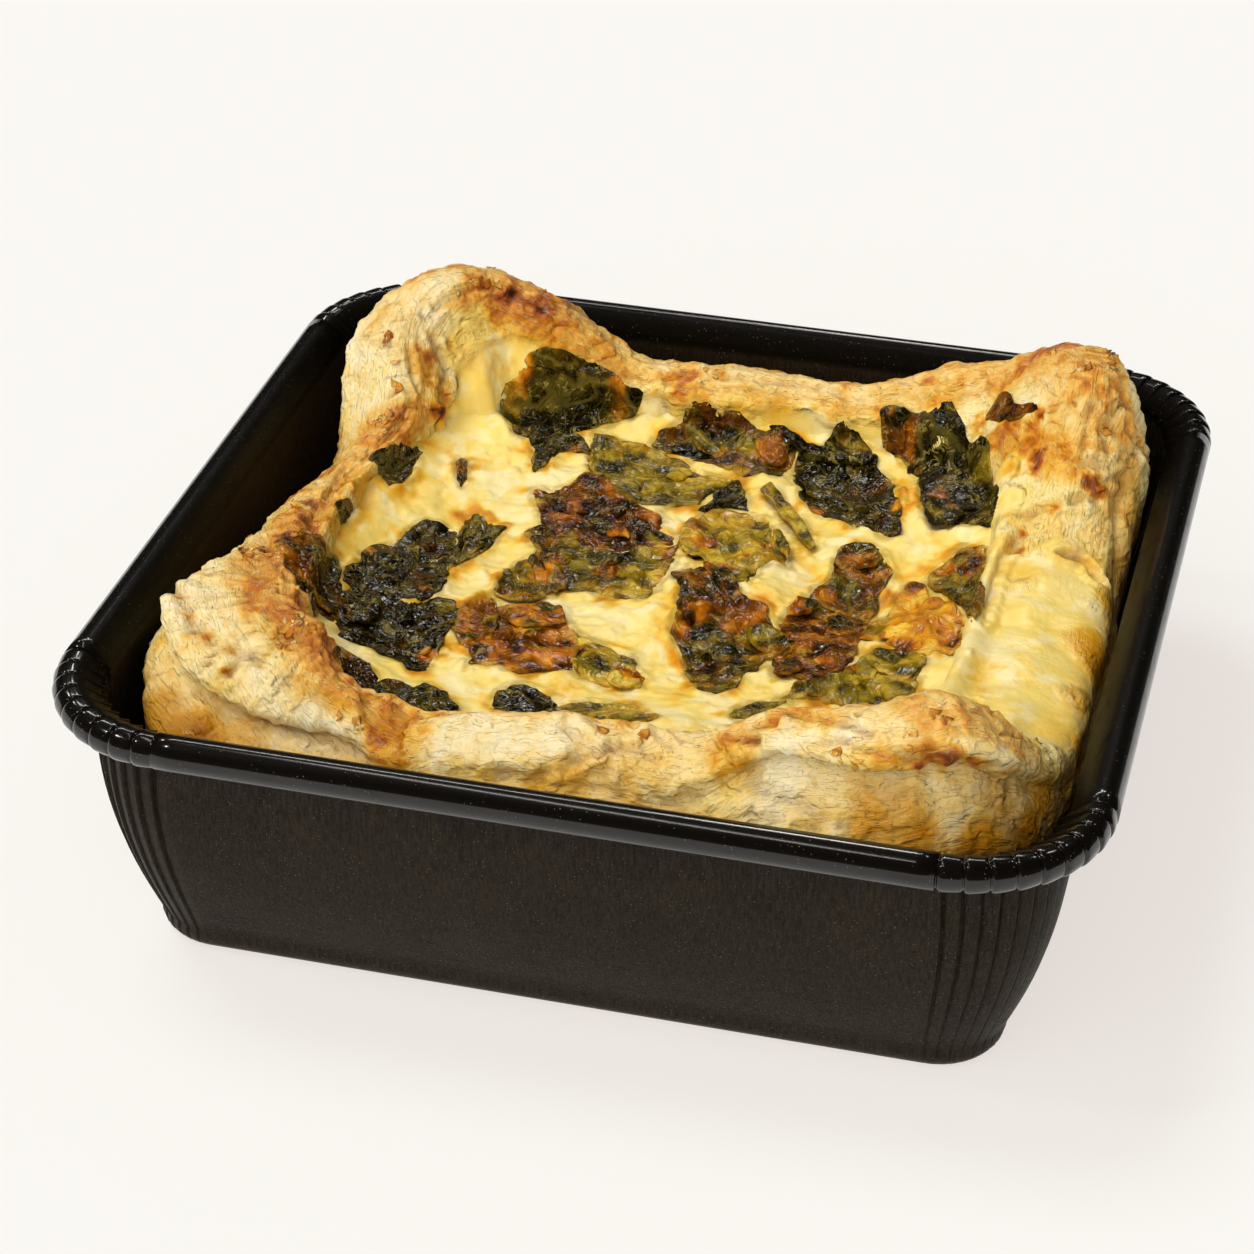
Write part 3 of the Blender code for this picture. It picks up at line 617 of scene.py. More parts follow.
# Patches of the crust: x, y, z, radius, then in hundredths how baked, how soaked with custard
# and how greasy and darkened, which is partly real grease and partly painted shade
CRUST_PATCHES = (
    (-62, -39, 47, 2.6, 16, 0, 0), (-58, -44, 47, 2.6, 18, 0, 0), (-59, -35, 48, 1.9, 30, 0, 0),
    (-58, -29, 47, 1.9, 36, 0, 0), (-52, -39, 48, 1.9, 42, 0, 0), (-51, -34, 47, 1.9, 36, 0, 0),
    (-47, -44, 47, 2.2, 42, 0, 0), (-42, -47, 45, 1.9, 45, 0, 0), (-62, -17, 44, 2.2, 22, 0, 0),
    (-63, -24, 45, 1.6, 18, 0, 0), (-50, -45, 47, 1.4, 22, 70, 0), (-47, -48, 45, 1.4, 20, 70, 0),
    (-52, -49, 45, 1.9, 14, 10, 0), (-44, -51, 43, 1.9, 26, 20, 0), (-39, -51, 42, 1.9, 36, 30, 0),
    (-34, -53, 41, 1.9, 48, 70, 20), (-29, -55, 38, 1.9, 50, 90, 20), (-37, -52, 40, 1.3, 46, 100, 30),
    (-42, -53, 41, 1.1, 40, 100, 30), (-61, -50, 45, 2.6, 20, 10, 0), (-63, -51, 40, 2.6, 22, 20, 10),
    (-57, -53, 39, 2.9, 20, 30, 10), (-52, -54, 42, 1.9, 24, 60, 10), (-46, -55, 42, 3.5, 12, 10, 0),
    (-41, -57, 38, 3.2, 10, 10, 0), (-35, -56, 38, 2.9, 8, 10, 0), (-51, -55, 37, 2.6, 14, 20, 10),
    (-55, -59, 36, 2.6, 50, 50, 100), (-49, -58, 36, 2.2, 28, 40, 70), (-62, -55, 37, 1.9, 34, 50, 90),
    (-59, -59, 36, 1.6, 40, 50, 100), (-66, -45, 41, 1.3, 34, 30, 20), (-25, -58, 38, 2.2, 42, 90, 20),
    (-26, -54, 39, 1.9, 50, 90, 20), (-23, -56, 40, 1.6, 34, 90, 0), (-17, -59, 41, 3.2, 6, 0, 0),
    (-10, -60, 43, 3.2, 5, 0, 0), (-2, -60, 44, 3.2, 7, 0, 0), (1, -58, 45, 1.6, 10, 0, 0),
    (-12, -62, 41, 2.2, 12, 10, 0), (-5, -63, 42, 1.9, 14, 20, 0), (-15, -63, 40, 1.6, 26, 90, 20),
    (-11, -64, 40, 1.6, 34, 100, 30), (-3, -63, 40, 1.9, 36, 100, 50), (1, -64, 41, 1.9, 34, 80, 60),
    (4, -59, 45, 2.2, 18, 0, 0), (8, -59, 44, 1.9, 22, 30, 0), (11, -57, 45, 1.9, 16, 0, 0),
    (18, -54, 45, 2.9, 14, 0, 0), (5, -62, 42, 2.2, 26, 70, 40), (11, -62, 43, 2.6, 24, 80, 30),
    (9, -63, 41, 1.9, 24, 50, 50), (17, -61, 43, 2.2, 14, 40, 10), (20, -63, 42, 1.9, 14, 50, 10),
    (24, -62, 45, 1.9, 38, 100, 20), (26, -62, 43, 1.6, 18, 40, 20), (25, -61, 48, 1.3, 30, 80, 0),
    (28, -65, 41, 2.2, 14, 30, 10), (27, -57, 51, 1.9, 22, 0, 0), (27, -28, 35, 2.2, 26, 0, 0),
    (39, -57, 54, 1.9, 24, 0, 0), (44, -57, 54, 1.6, 22, 0, 0), (49, -56, 55, 2.2, 34, 0, 0),
    (54, -54, 55, 2.6, 36, 0, 0), (58, -52, 52, 2.2, 36, 0, 0), (62, -49, 48, 2.2, 36, 0, 0),
    (65, -48, 44, 1.9, 34, 10, 0), (29, -58, 51, 1.3, 50, 90, 20), (33, -57, 52, 1.3, 48, 90, 20),
    (37, -58, 52, 1, 44, 80, 10), (33, -60, 51, 2.2, 6, 0, 0), (40, -60, 52, 2.2, 6, 0, 0),
    (31, -61, 50, 1.9, 8, 10, 0), (47, -60, 53, 1.9, 16, 0, 0), (36, -62, 49, 1.9, 16, 40, 10),
    (42, -62, 51, 1.6, 30, 80, 10), (46, -63, 51, 1.9, 42, 90, 20), (31, -61, 45, 2.2, 3, 30, 0),
    (31, -62, 43, 2.2, 10, 10, 0), (38, -61, 45, 2.6, 8, 60, 10), (44, -61, 46, 2.2, 22, 40, 30),
    (48, -61, 46, 2.2, 20, 40, 30), (56, -58, 46, 2.9, 6, 80, 40), (60, -53, 44, 2.2, 28, 40, 40),
    (64, -48, 41, 1.9, 26, 30, 30), (37, -64, 43, 2.2, 20, 50, 40), (43, -63, 44, 1.9, 26, 50, 60),
    (48, -63, 44, 2.2, 30, 50, 70), (55, -61, 43, 1.6, 14, 20, 20), (61, -55, 41, 2.2, 30, 50, 70),
    (66, -47, 38, 1.9, 34, 50, 80), (45, -65, 42, 2.2, 40, 60, 100), (51, -64, 40, 2.2, 42, 60, 100),
    (59, -60, 38, 2.2, 42, 60, 100), (65, -52, 36, 1.9, 42, 60, 100), (51, -61, 51, 1.6, 50, 50, 10),
    (57, -22, 39, 2.9, 12, 100, 0), (60, -10, 39, 3.5, 8, 100, 0), (61, 3, 39, 3.2, 6, 100, 0),
    (62, 10, 39, 2.6, 4, 90, 0), (65, 8, 38, 1.6, 10, 80, 0), (60, -23, 39, 2.6, 6, 100, 0),
    (67, -18, 37, 1.6, 30, 80, 60), (67, 11, 37, 1.6, 34, 80, 60), (65, -25, 38, 1.9, 20, 100, 0),
    (52, -19, 39, 1.6, 24, 100, 0), (52, -12, 39, 1.6, 16, 100, 0), (66, -3, 38, 2.2, 34, 90, 70),
    (68, -6, 36, 2.2, 42, 80, 100), (69, -28, 33, 1.9, 40, 80, 100), (54, 0, 39, 2.2, 14, 100, 0),
    (53, 13, 40, 1.9, 20, 100, 0), (51, 19, 40, 1.6, 30, 80, 0), (56, 49, 60, 2.6, 29, 0, 0),
    (61, 45, 59, 2.2, 33, 0, 0), (53, 43, 57, 2.6, 26, 0, 0), (57, 37, 54, 2.2, 24, 0, 0),
    (61, 37, 53, 2.2, 32, 0, 0), (65, 40, 52, 1.9, 40, 0, 0), (50, 48, 56, 2.2, 28, 0, 0),
    (42, 55, 53, 2.6, 26, 0, 0), (38, 54, 52, 2.2, 28, 0, 0), (35, 52, 49, 1.9, 34, 20, 0),
    (62, 34, 48, 1.9, 22, 0, 0), (66, 37, 46, 1.9, 34, 10, 0), (46, 42, 48, 1.9, 58, 90, 0),
    (50, 38, 48, 1.6, 52, 90, 0), (55, 35, 50, 1.6, 36, 70, 0), (56, 32, 48, 1.9, 36, 80, 0),
    (47, 36, 44, 2.2, 24, 100, 0), (49, 29, 43, 1.9, 14, 100, 0), (55, 29, 45, 2.2, 12, 50, 0),
    (60, 29, 44, 1.9, 14, 40, 0), (55, 24, 42, 2.2, 22, 50, 0), (61, 25, 41, 2.2, 18, 40, 0),
    (64, 32, 45, 1.9, 30, 20, 10), (66, 34, 43, 1.9, 30, 20, 30), (65, 27, 41, 2.2, 20, 30, 30),
    (61, 20, 40, 1.9, 22, 90, 30), (57, 20, 41, 1.9, 14, 100, 0), (68, 32, 40, 1.3, 34, 30, 60),
    (-8, 54, 45, 2.2, 22, 0, 0), (-1, 54, 45, 2.6, 20, 0, 0), (6, 54, 45, 2.6, 18, 0, 0),
    (13, 53, 45, 2.2, 16, 0, 0), (20, 53, 45, 1.9, 22, 0, 0), (25, 53, 47, 1.9, 26, 0, 0),
    (29, 54, 49, 2.2, 28, 0, 0), (34, 54, 51, 1.9, 30, 0, 0), (-7, 50, 43, 1.6, 38, 80, 0),
    (0, 50, 43, 1.9, 30, 90, 0), (7, 50, 43, 1.9, 34, 100, 0), (12, 49, 41, 2.2, 5, 100, 0),
    (15, 50, 43, 1.6, 34, 80, 0), (21, 49, 41, 1.6, 22, 90, 0), (27, 52, 46, 1.6, 26, 50, 0),
    (33, 52, 48, 1.6, 34, 70, 0), (-15, 56, 44, 1.6, 20, 10, 0), (-14, 50, 43, 1.3, 24, 90, 0),
    (-11, 52, 43, 1.6, 44, 60, 0), (-18, 55, 45, 1.6, 28, 40, 0), (-51, 49, 59, 2.2, 12, 0, 0),
    (-55, 45, 56, 2.6, 14, 0, 0), (-57, 39, 53, 2.2, 18, 0, 0), (-59, 36, 50, 2.6, 6, 30, 0),
    (-55, 33, 47, 2.9, 5, 40, 0), (-58, 31, 44, 2.2, 8, 40, 0), (-52, 44, 55, 2.2, 12, 0, 0),
    (-47, 48, 56, 1.6, 36, 10, 0), (-52, 40, 52, 1.9, 20, 0, 0), (-51, 37, 49, 1.6, 34, 10, 0),
    (-48, 37, 45, 1.9, 42, 30, 0), (-51, 33, 47, 1.3, 30, 10, 0), (-44, 47, 51, 2.2, 24, 80, 0),
    (-46, 43, 49, 1.9, 26, 80, 0), (-41, 44, 47, 2.2, 26, 100, 0), (-43, 41, 43, 2.2, 12, 100, 0),
    (-43, 39, 39, 2.2, 10, 100, 0), (-36, 51, 52, 2.2, 44, 80, 0), (-31, 50, 49, 1.9, 42, 80, 0),
    (-25, 52, 47, 1.9, 36, 60, 0), (-25, 59, 48, 1.6, 26, 0, 0), (-29, 54, 52, 1.6, 30, 20, 0),
    (-35, 55, 54, 1.6, 40, 20, 0), (-41, 49, 52, 1.9, 40, 80, 0), (-55, 26, 43, 2.2, 38, 0, 0),
    (-51, 26, 42, 1.9, 44, 0, 0), (-49, 30, 43, 1.9, 46, 10, 0), (-56, 20, 42, 1.9, 36, 0, 0),
    (-56, 14, 41, 1.6, 28, 10, 0), (-58, 8, 41, 1.9, 26, 0, 0), (-59, -2, 43, 1.9, 26, 0, 0),
    (-63, -2, 40, 1.9, 20, 0, 0), (-62, -17, 44, 1.9, 20, 0, 0), (-56, -1, 43, 1.6, 40, 20, 0),
    (-57, -14, 46, 1.9, 50, 30, 0), (-53, 8, 42, 2.2, 34, 90, 0), (-51, 8, 39, 2.2, 32, 100, 0),
    (-47, 12, 37, 2.6, 32, 100, 0), (-45, 20, 37, 2.2, 22, 100, 0), (-46, 29, 37, 1.9, 26, 100, 0),
    (-40, 17, 35, 1.9, 5, 90, 0), (-52, -3, 39, 1.9, 26, 100, 0), (-47, 2, 37, 2.2, 12, 100, 0),
    (-53, -6, 42, 1.3, 34, 90, 0), (-57, 2, 43, 1.3, 30, 30, 0),
)


def loop_point(place, offset):
    """Points beside the reference loop, offset outwards."""
    place = np.asarray(place, float) % LOOP
    offset = offset + np.zeros_like(place)
    side = np.floor((place + SIDE / 2) / SIDE)
    run = place - side * SIDE
    straight = np.clip(run, -STRAIGHT / 2, STRAIGHT / 2)
    angle = (run - straight) / ROUND
    tightest = ROUND + TIGHT
    radius = np.where(offset > TIGHT, ROUND + offset, tightest * np.exp((offset - TIGHT) / tightest))
    middle = HALF + offset - radius
    x = straight * middle / (HALF - ROUND) + radius * np.sin(angle)
    y = -middle - radius * np.cos(angle)
    return quarter_turned(x, y, side)


def loop_ring(place, offset, height):
    """A ring of points beside the loop."""
    return np.stack([*loop_point(place, offset), height], -1)


def round_ring(place, across):
    """The place on the loop bent to a circle and the way across as a third axis, without a seam."""
    radius = LOOP / (2 * pi)
    turn = place / radius
    return np.stack([radius * np.cos(turn) + 0 * across, radius * np.sin(turn) + 0 * across, across], -1)


def feature(place, column, table=WALL_FEATURES):
    """One column of a table of features at a place, with neighbours run into each other."""
    places = [row[0] for row in table]
    values = [row[column] for row in table]
    shifts = np.linspace(-1, 1, 9)
    weights = np.cos(shifts * pi / 2.4)
    total = sum(w * np.interp(place + d * FEATURE_SPREAD, places, values, period=LOOP)
                for d, w in zip(shifts, weights))
    return total / weights.sum()


def custard_line(place):
    """Offset and height of the custard's edge on the wall."""
    return feature(place, 1, LINE_FEATURES), feature(place, 2, LINE_FEATURES)


def wall_knots(place):
    """Offset and height of the wall's section, from the foot over the crest to the inner foot."""
    crest, top, reach, drop, fold, belly, middle = (feature(place, i) for i in range(1, 8))
    shoulder = crest + reach
    folded = np.clip(fold / 1.5, 0, 1)
    under = folded * (shoulder - fold) + (1 - folded) * (0.45 * shoulder + 0.55 * belly)
    under_height = top - drop - folded * FOLD_LIP - (1 - folded) * 0.45 * (top - drop - middle)
    line, line_height = custard_line(place)
    low_height = 0.45 * middle
    room = TRAY_SIDE / 2 - HALF - wall_inset(low_height) - BOARD - GAP
    low = np.clip(FOOT + 0.62 * (belly - FOOT), SLUMP, room)
    zero = np.zeros_like(place)
    return (
        (zero + FOOT - 4, zero + BOTTOM),
        (zero + FOOT, zero + BOTTOM + 2.5),
        (low, low_height),
        (belly, middle),
        (under, under_height),
        (shoulder, top - drop),
        (crest, top),
        (crest - 0.55 * (crest - line), line_height + 0.62 * (top - line_height)),
        (line, line_height),
        (line - 2, 0.45 * line_height),
        (zero + INNER_FLOOR, zero + BOTTOM + CASE_BASE),
    )


def smooth_rows(knots, steps):
    """Rows of a smooth curve through the knots (Catmull-Rom)."""
    rows = []
    last = len(knots) - 1
    for i in range(last):
        p0, p1, p2, p3 = (knots[min(max(i + d, 0), last)] for d in (-1, 0, 1, 2))
        for step in range(steps[i]):
            t = step / steps[i]
            rows.append(tuple(
                0.5 * (2 * b + (c - a) * t + (2 * a - 5 * b + 4 * c - d) * t ** 2
                       + (3 * b - a - 3 * c + d) * t ** 3)
                for a, b, c, d in zip(p0, p1, p2, p3)))
    rows.append(knots[last])
    return rows


def near_place(place, middle, spread):
    """1 at a place on the loop, falling off within the spread."""
    away = (place - middle + LOOP / 2) % LOOP - LOOP / 2
    return np.exp(-(away / spread) ** 2)


def spot_share(points, ragged, x, y, z, radius):
    """1 in the middle of a round patch, falling off over its ragged edge."""
    away = np.linalg.norm(points - np.array((x, y, z)), axis=-1) * ragged
    return np.exp(-(away / (1.15 * radius)) ** 2)


def scorch_at(points):
    """How brown the spots make each point."""
    total = np.zeros(points.shape[:-1])
    ragged = 1 + 0.55 * rough(points, 3.0, 3, 61)
    for *spot, strength in SCORCHES:
        total = np.maximum(total, strength / 100 * spot_share(points, ragged, *spot))
    return total * (0.85 + 0.5 * rough(points, 1.6, 2, 63))


def crust_patches(points, bake, custardy, amber):
    """Brings the patches' values in: baked, soaked with custard, greasy with painted shade."""
    weight = np.full(bake.shape, 0.45)
    total = np.stack([bake, custardy, amber]) * weight
    ragged = 1 + 0.45 * rough(points, 3.4, 3, 141)
    for x, y, z, radius, *values in CRUST_PATCHES:
        share = 3.0 * spot_share(points, ragged, x, y, z, radius)
        weight = weight + share
        total += share * np.reshape(values, (3, 1, 1)) / 100
    return total / weight


def curd_bake(points):
    """How browned the custard's skin is, on the custard and where it soaked into the crust."""
    return 0.06 + 0.22 * smooth(rough(points, 8.0, 3, 271), 0.0, 0.75) + 0.10 * rough(points, 2.6, 2, 281)


def case_relief(points, place, across):
    """Height of the layers, wrinkles, blisters and pits, and how raised their edges are."""
    ring = round_ring(place, across)
    layered = 2.2 * noise(ring, 16, 5) + 0.8 * noise(ring, 5, 6)
    drift = ring + np.stack([0 * across, 0 * across, layered], -1)
    outer = smooth(across, 3, 9)
    lip = smooth(np.abs(across), 9, 3)
    inner = smooth(-across, 2, 6)
    corner = sum(near_place(place, middle, 13) for middle in CORNERS)
    knob = near_place(place, KNOB, 13) * smooth(across, 0, 3)
    band = np.clip(near_place(place, LOW_SIDE, 34) * 1.6, 0, 1)
    plain = 1 - 0.9 * band
    layers = rough(drift, (13, 13, 1.7), 2, 21, fold=True)
    wrinkles = rough(drift + noise(ring, 7, 8)[..., None], (2.0, 2.0, 15), 2, 31, fold=True)
    flakes = rough(points, 5.5, 3, 41, fold=True)
    crinkles = rough(points + 0.8 * noise(points, 4.0, 48)[..., None], 3.0, 2, 49, fold=True)
    height = 0.75 * rough(points, 8.0, 2, 45)
    height += (0.34 * outer + 0.30 * lip * (1 - corner) + 0.05) * layers * (1 - band)
    height += band * (0.5 * rough(points, (16, 16, 12), 2, 47) + 1.4 * bell(across, 9, 5))
    height += (1.15 * knob + 0.22 * corner * (lip + outer)) * wrinkles
    height += (0.38 * lip + 0.42 * outer + 0.14 * inner) * flakes * plain * (1 - 0.7 * knob)
    height += 0.15 * rough(points, 1.5, 2, 51) * (1 - 0.6 * band)
    height += (0.20 * lip + 0.24 * outer) * crinkles * plain * (1 - 0.7 * knob)
    blisters = dots(points, 4.2, 71, 0.5, 0.1, 0.45)
    height += (0.45 * lip + 0.25 * inner + 0.35 * outer) * blisters * plain * (1 - 0.8 * knob)
    height -= 0.22 * outer * dots(points, 2.0, 81, 0.3, 0.05, 0.6)
    return height, layers, wrinkles * np.minimum(knob + 0.3 * corner * (lip + outer), 1), flakes


def cut_creases(points, normals):
    """Cuts the cracks: a groove with a raised lip on both sides; returns how dark each point is."""
    dark = np.zeros(points.shape[:-1])
    ragged = 1 + 0.3 * rough(points, 1.7, 2, 91)
    wander = points + 0.35 * swirl(points, 2.6, 93, 94, 95)
    for depth, width, darkness, *line in CREASES:
        away = from_line(wander, np.reshape(line, (-1, 3))) * ragged
        relief = 0.5 * depth * bell(away, 2.1 * width, width) - 1.25 * depth * bell(away, 0, width)
        points = points + normals * relief[..., None]
        dark = np.maximum(dark, darkness * bell(away, 0, 0.8 * width))
    return points, dark


def lowered(height):
    """Holds the highest spots under the solid's top."""
    over = np.maximum(height - SOFT_TOP, 0)
    return np.minimum(height, SOFT_TOP) + SOFT_ROOM * (1 - np.exp(-over / SOFT_ROOM))


def case_looks(points, place, across, layers, wrinkles, flakes):
    """How baked, soaked with custard and greasy the crust is at each point, with painted shade low on the
    outside and painted highlights and shade along the wrinkles.
    """
    outer = smooth(across, 4, 12)
    lip = smooth(np.abs(across), 10, 3)
    band = np.clip(near_place(place, LOW_SIDE, 33) * 1.7, 0, 1)
    knob = near_place(place, KNOB, 16)
    flap = near_place(place, FLAP, 22)
    bake = 0.16 + 0.20 * lip * (1 - band) + 0.16 * knob + 0.12 * flap * lip
    soaked = smooth(-across, 5, 11)
    bake = bake * (1 - soaked) + curd_bake(points) * soaked
    bake += 0.10 * rough(points, 10, 3, 111) + 0.07 * rough(points, 2.4, 2, 112)
    bake += 0.10 * smooth(flakes, 0.35, 0.9) * (1 - band) - 0.05 * outer
    bake += 0.05 * smooth(-layers, 0.2, 0.8) * outer * (1 - band)
    # Painted highlight and shade: the wrinkles' ridges are made paler and their furrows browner.
    bake -= 0.16 * smooth(wrinkles, 0.1, 0.7) - 0.10 * smooth(-wrinkles, 0.1, 0.7)
    custardy = smooth(-across, 3, 9) * (1 - 0.75 * knob) * (1 - 0.8 * flap)
    custardy = np.maximum(custardy, band * smooth(across, 16, 7))
    custardy = np.maximum(custardy, 0.7 * outer * smooth(points[..., 2], 48, 42))
    custardy = np.clip(custardy + 0.25 * rough(points, 6, 2, 121) * smooth(custardy, 0.0, 0.2), 0, 1)
    # Darker and greasier low on the outside, near the tray: partly real grease, partly painted shade.
    amber = smooth(points[..., 2], 41, 36) * outer * (1 - 0.3 * band)
    amber = np.clip(amber + 0.35 * rough(points, 5, 3, 131) * amber, 0, 1)
    bake, custardy, amber = crust_patches(points, bake, custardy, amber)
    bake += 0.07 * rough(points, 4.5, 3, 113) + 0.05 * rough(points, 1.8, 2, 114)
    return np.maximum(bake, scorch_at(points) + 0.25 * bake), custardy, amber


def make_case(finish):
    """The puff pastry case, from its foot over the crest and down inside."""
    place = np.arange(CASE_COUNT) * LOOP / CASE_COUNT
    rows = smooth_rows(wall_knots(place), SECTION_ROWS)
    points = np.array([loop_ring(place, offset, height) for offset, height in rows])
    runs = np.linalg.norm(np.diff(points, axis=0), axis=-1)
    along = np.vstack([np.zeros(CASE_COUNT), np.cumsum(runs, axis=0)])
    across = along[CREST_ROW] - along
    place = np.broadcast_to(place, across.shape)
    normals = grid_normals(points)
    if (normals[CREST_ROW, :, 2] < 0).any():
        normals = -normals
    height, *raised = case_relief(points, place, across)
    shown = smooth(across, 38, 30) * smooth(-across, 26, 20)
    points, dark = cut_creases(points + normals * (height * shown)[..., None], normals)
    points[..., 2] = lowered(points[..., 2])
    bake, custardy, amber = case_looks(points, place, across, *raised)
    return closed_piece("puff_pastry_case", points, [(0, 0, BOTTOM), (0, 0, BOTTOM + CASE_BASE)], finish,
                        bake=bake, dark=dark, custardy=custardy, amber=amber,
                        drift=round_ring(place, across) * MM)


# ---------------- custard
# Custard heaped up over leaves: x, y, radius, height
MOUNDS = (
    (41, -3, 4.5, 1.6), (9, 36, 4, 1.2), (30, 36, 3.5, 1.3), (-19, 21, 3, 0.5), (0, -9, 3, 0.8),
    (-22, -24, 3.5, 0.5), (34, 31, 3, 1.0), (16, 0, 3.5, 0.6),
)


def custard_relief(x, y):
    """Height of the custard's wide swells."""
    swell = 0.8 * np.sin(x / 9.0 + 1.1) * np.cos(y / 8.0 - 0.6)
    ripple = 0.5 * np.sin(x / 5.5 - y / 7.0 + 0.4)
    return CUSTARD_TOP + swell + ripple


def within_edge(x, y, corners):
    """How far inside a closed edge a place is, in mm; less than 0 outside."""
    away = np.full(x.shape, 1e9)
    inside = np.zeros(x.shape, bool)
    for (ax, ay), (bx, by) in zip(corners, np.roll(corners, -1, 0)):
        run = np.array((bx - ax, by - ay))
        part = np.clip(((x - ax) * run[0] + (y - ay) * run[1]) / max(run @ run, 1e-9), 0, 1)
        away = np.minimum(away, np.hypot(x - ax - part * run[0], y - ay - part * run[1]))
        crossed = (ay > y) != (by > y)
        inside ^= crossed & (x < ax + (y - ay) * run[0] / (run[1] if run[1] else 1.0))
    return np.where(inside, away, -away)


def leaf_depth(x, y):
    """How deep inside the nearest leaf a place is, in mm."""
    deep = np.full(x.shape, -9.0)
    for _, _, _, *sheets in LEAVES.values():
        for sheet in sheets:
            corners = np.reshape(sheet, (-1, 2))[1:] / 2
            near = (abs(x - corners[:, 0].mean()) < 22) & (abs(y - corners[:, 1].mean()) < 22)
            deep[near] = np.maximum(deep[near], within_edge(x[near], y[near], corners))
    return deep


def make_custard(finish):
    """The custard, from under its edge over the baked top to its middle."""
    place = np.arange(CUSTARD_COUNT) * LOOP / CUSTARD_COUNT
    line, line_height = custard_line(place)
    low = BOTTOM + CASE_BASE + GAP
    rings = [loop_ring(place, offset, height) for offset, height in (
        (INNER_FLOOR - GAP + 0 * line, low + 0 * line),
        (line - 2 - GAP, 0.45 * line_height),
        (line + TUCK - 1.0, line_height - 4.0),
    )]
    hidden = len(rings)
    edge_x, edge_y = loop_point(place, line + TUCK)
    edge_parts = np.linspace(1.0, 0.0, CUSTARD_RINGS, endpoint=False) ** 0.86
    for part in edge_parts:
        x, y = edge_x * part, edge_y * part
        rise = np.clip((part - 0.7) / 0.3, 0, 1) ** 2
        height = custard_relief(x, y) * (1 - rise) + (line_height - 0.2) * rise
        rings.append(np.stack([x, y, height], -1))
    points = np.array(rings)
    x, y = points[hidden:, :, 0], points[hidden:, :, 1]
    flat = points[hidden:] * np.array((1, 1, 0.6))
    relief = 0.75 * rough(flat, 7.0, 2, 201) + 0.36 * rough(flat, 2.8, 3, 211)
    relief += 0.24 * rough(flat, (9, 4, 5), 2, 221, fold=True)
    relief += 0.25 * dots(flat, 3.2, 231, 0.45, 0.1, 0.6) - 0.35 * dots(flat, 2.4, 241, 0.3, 0.08, 0.8)
    ragged = 1 + 0.3 * rough(flat, 4, 2, 251)
    for mound_x, mound_y, radius, lift in MOUNDS:
        relief += lift * bell(np.hypot(x - mound_x, y - mound_y) * ragged, 0, radius)
    deep = leaf_depth(x, y)
    relief += 0.55 * bell(deep, -0.6, 0.8) * smooth(rough(flat, 5.0, 2, 261), -0.3, 0.3)
    relief -= 0.4 * smooth(deep, 0.3, 1.6)
    points[hidden:, :, 2] += relief
    bake = curd_bake(points)
    edge_share = np.append(np.ones(hidden), np.clip((edge_parts - 0.80) / 0.2, 0, 1) ** 0.7)[:, None]
    wall_bake = crust_patches(points, bake, 1 + 0 * bake, 0 * bake)[0]
    bake = bake * (1 - edge_share) + wall_bake * edge_share
    depth = np.vstack([np.full((hidden, CUSTARD_COUNT), -3.0), deep])
    bake += 0.42 * bell(depth, -0.4, 2.2) * smooth(rough(points, 6.0, 3, 291), -0.15, 0.5)
    bake = np.maximum(bake, scorch_at(points) + 0.4 * bake)
    green = smooth(depth + 0.9 * rough(points, 3.0, 2, 295), -1.9, 0.2)
    return closed_piece("baked_custard", points, [(0, 0, low), (0, 0, points[-1, :, 2].mean())], finish,
                        bake=bake, green=green)


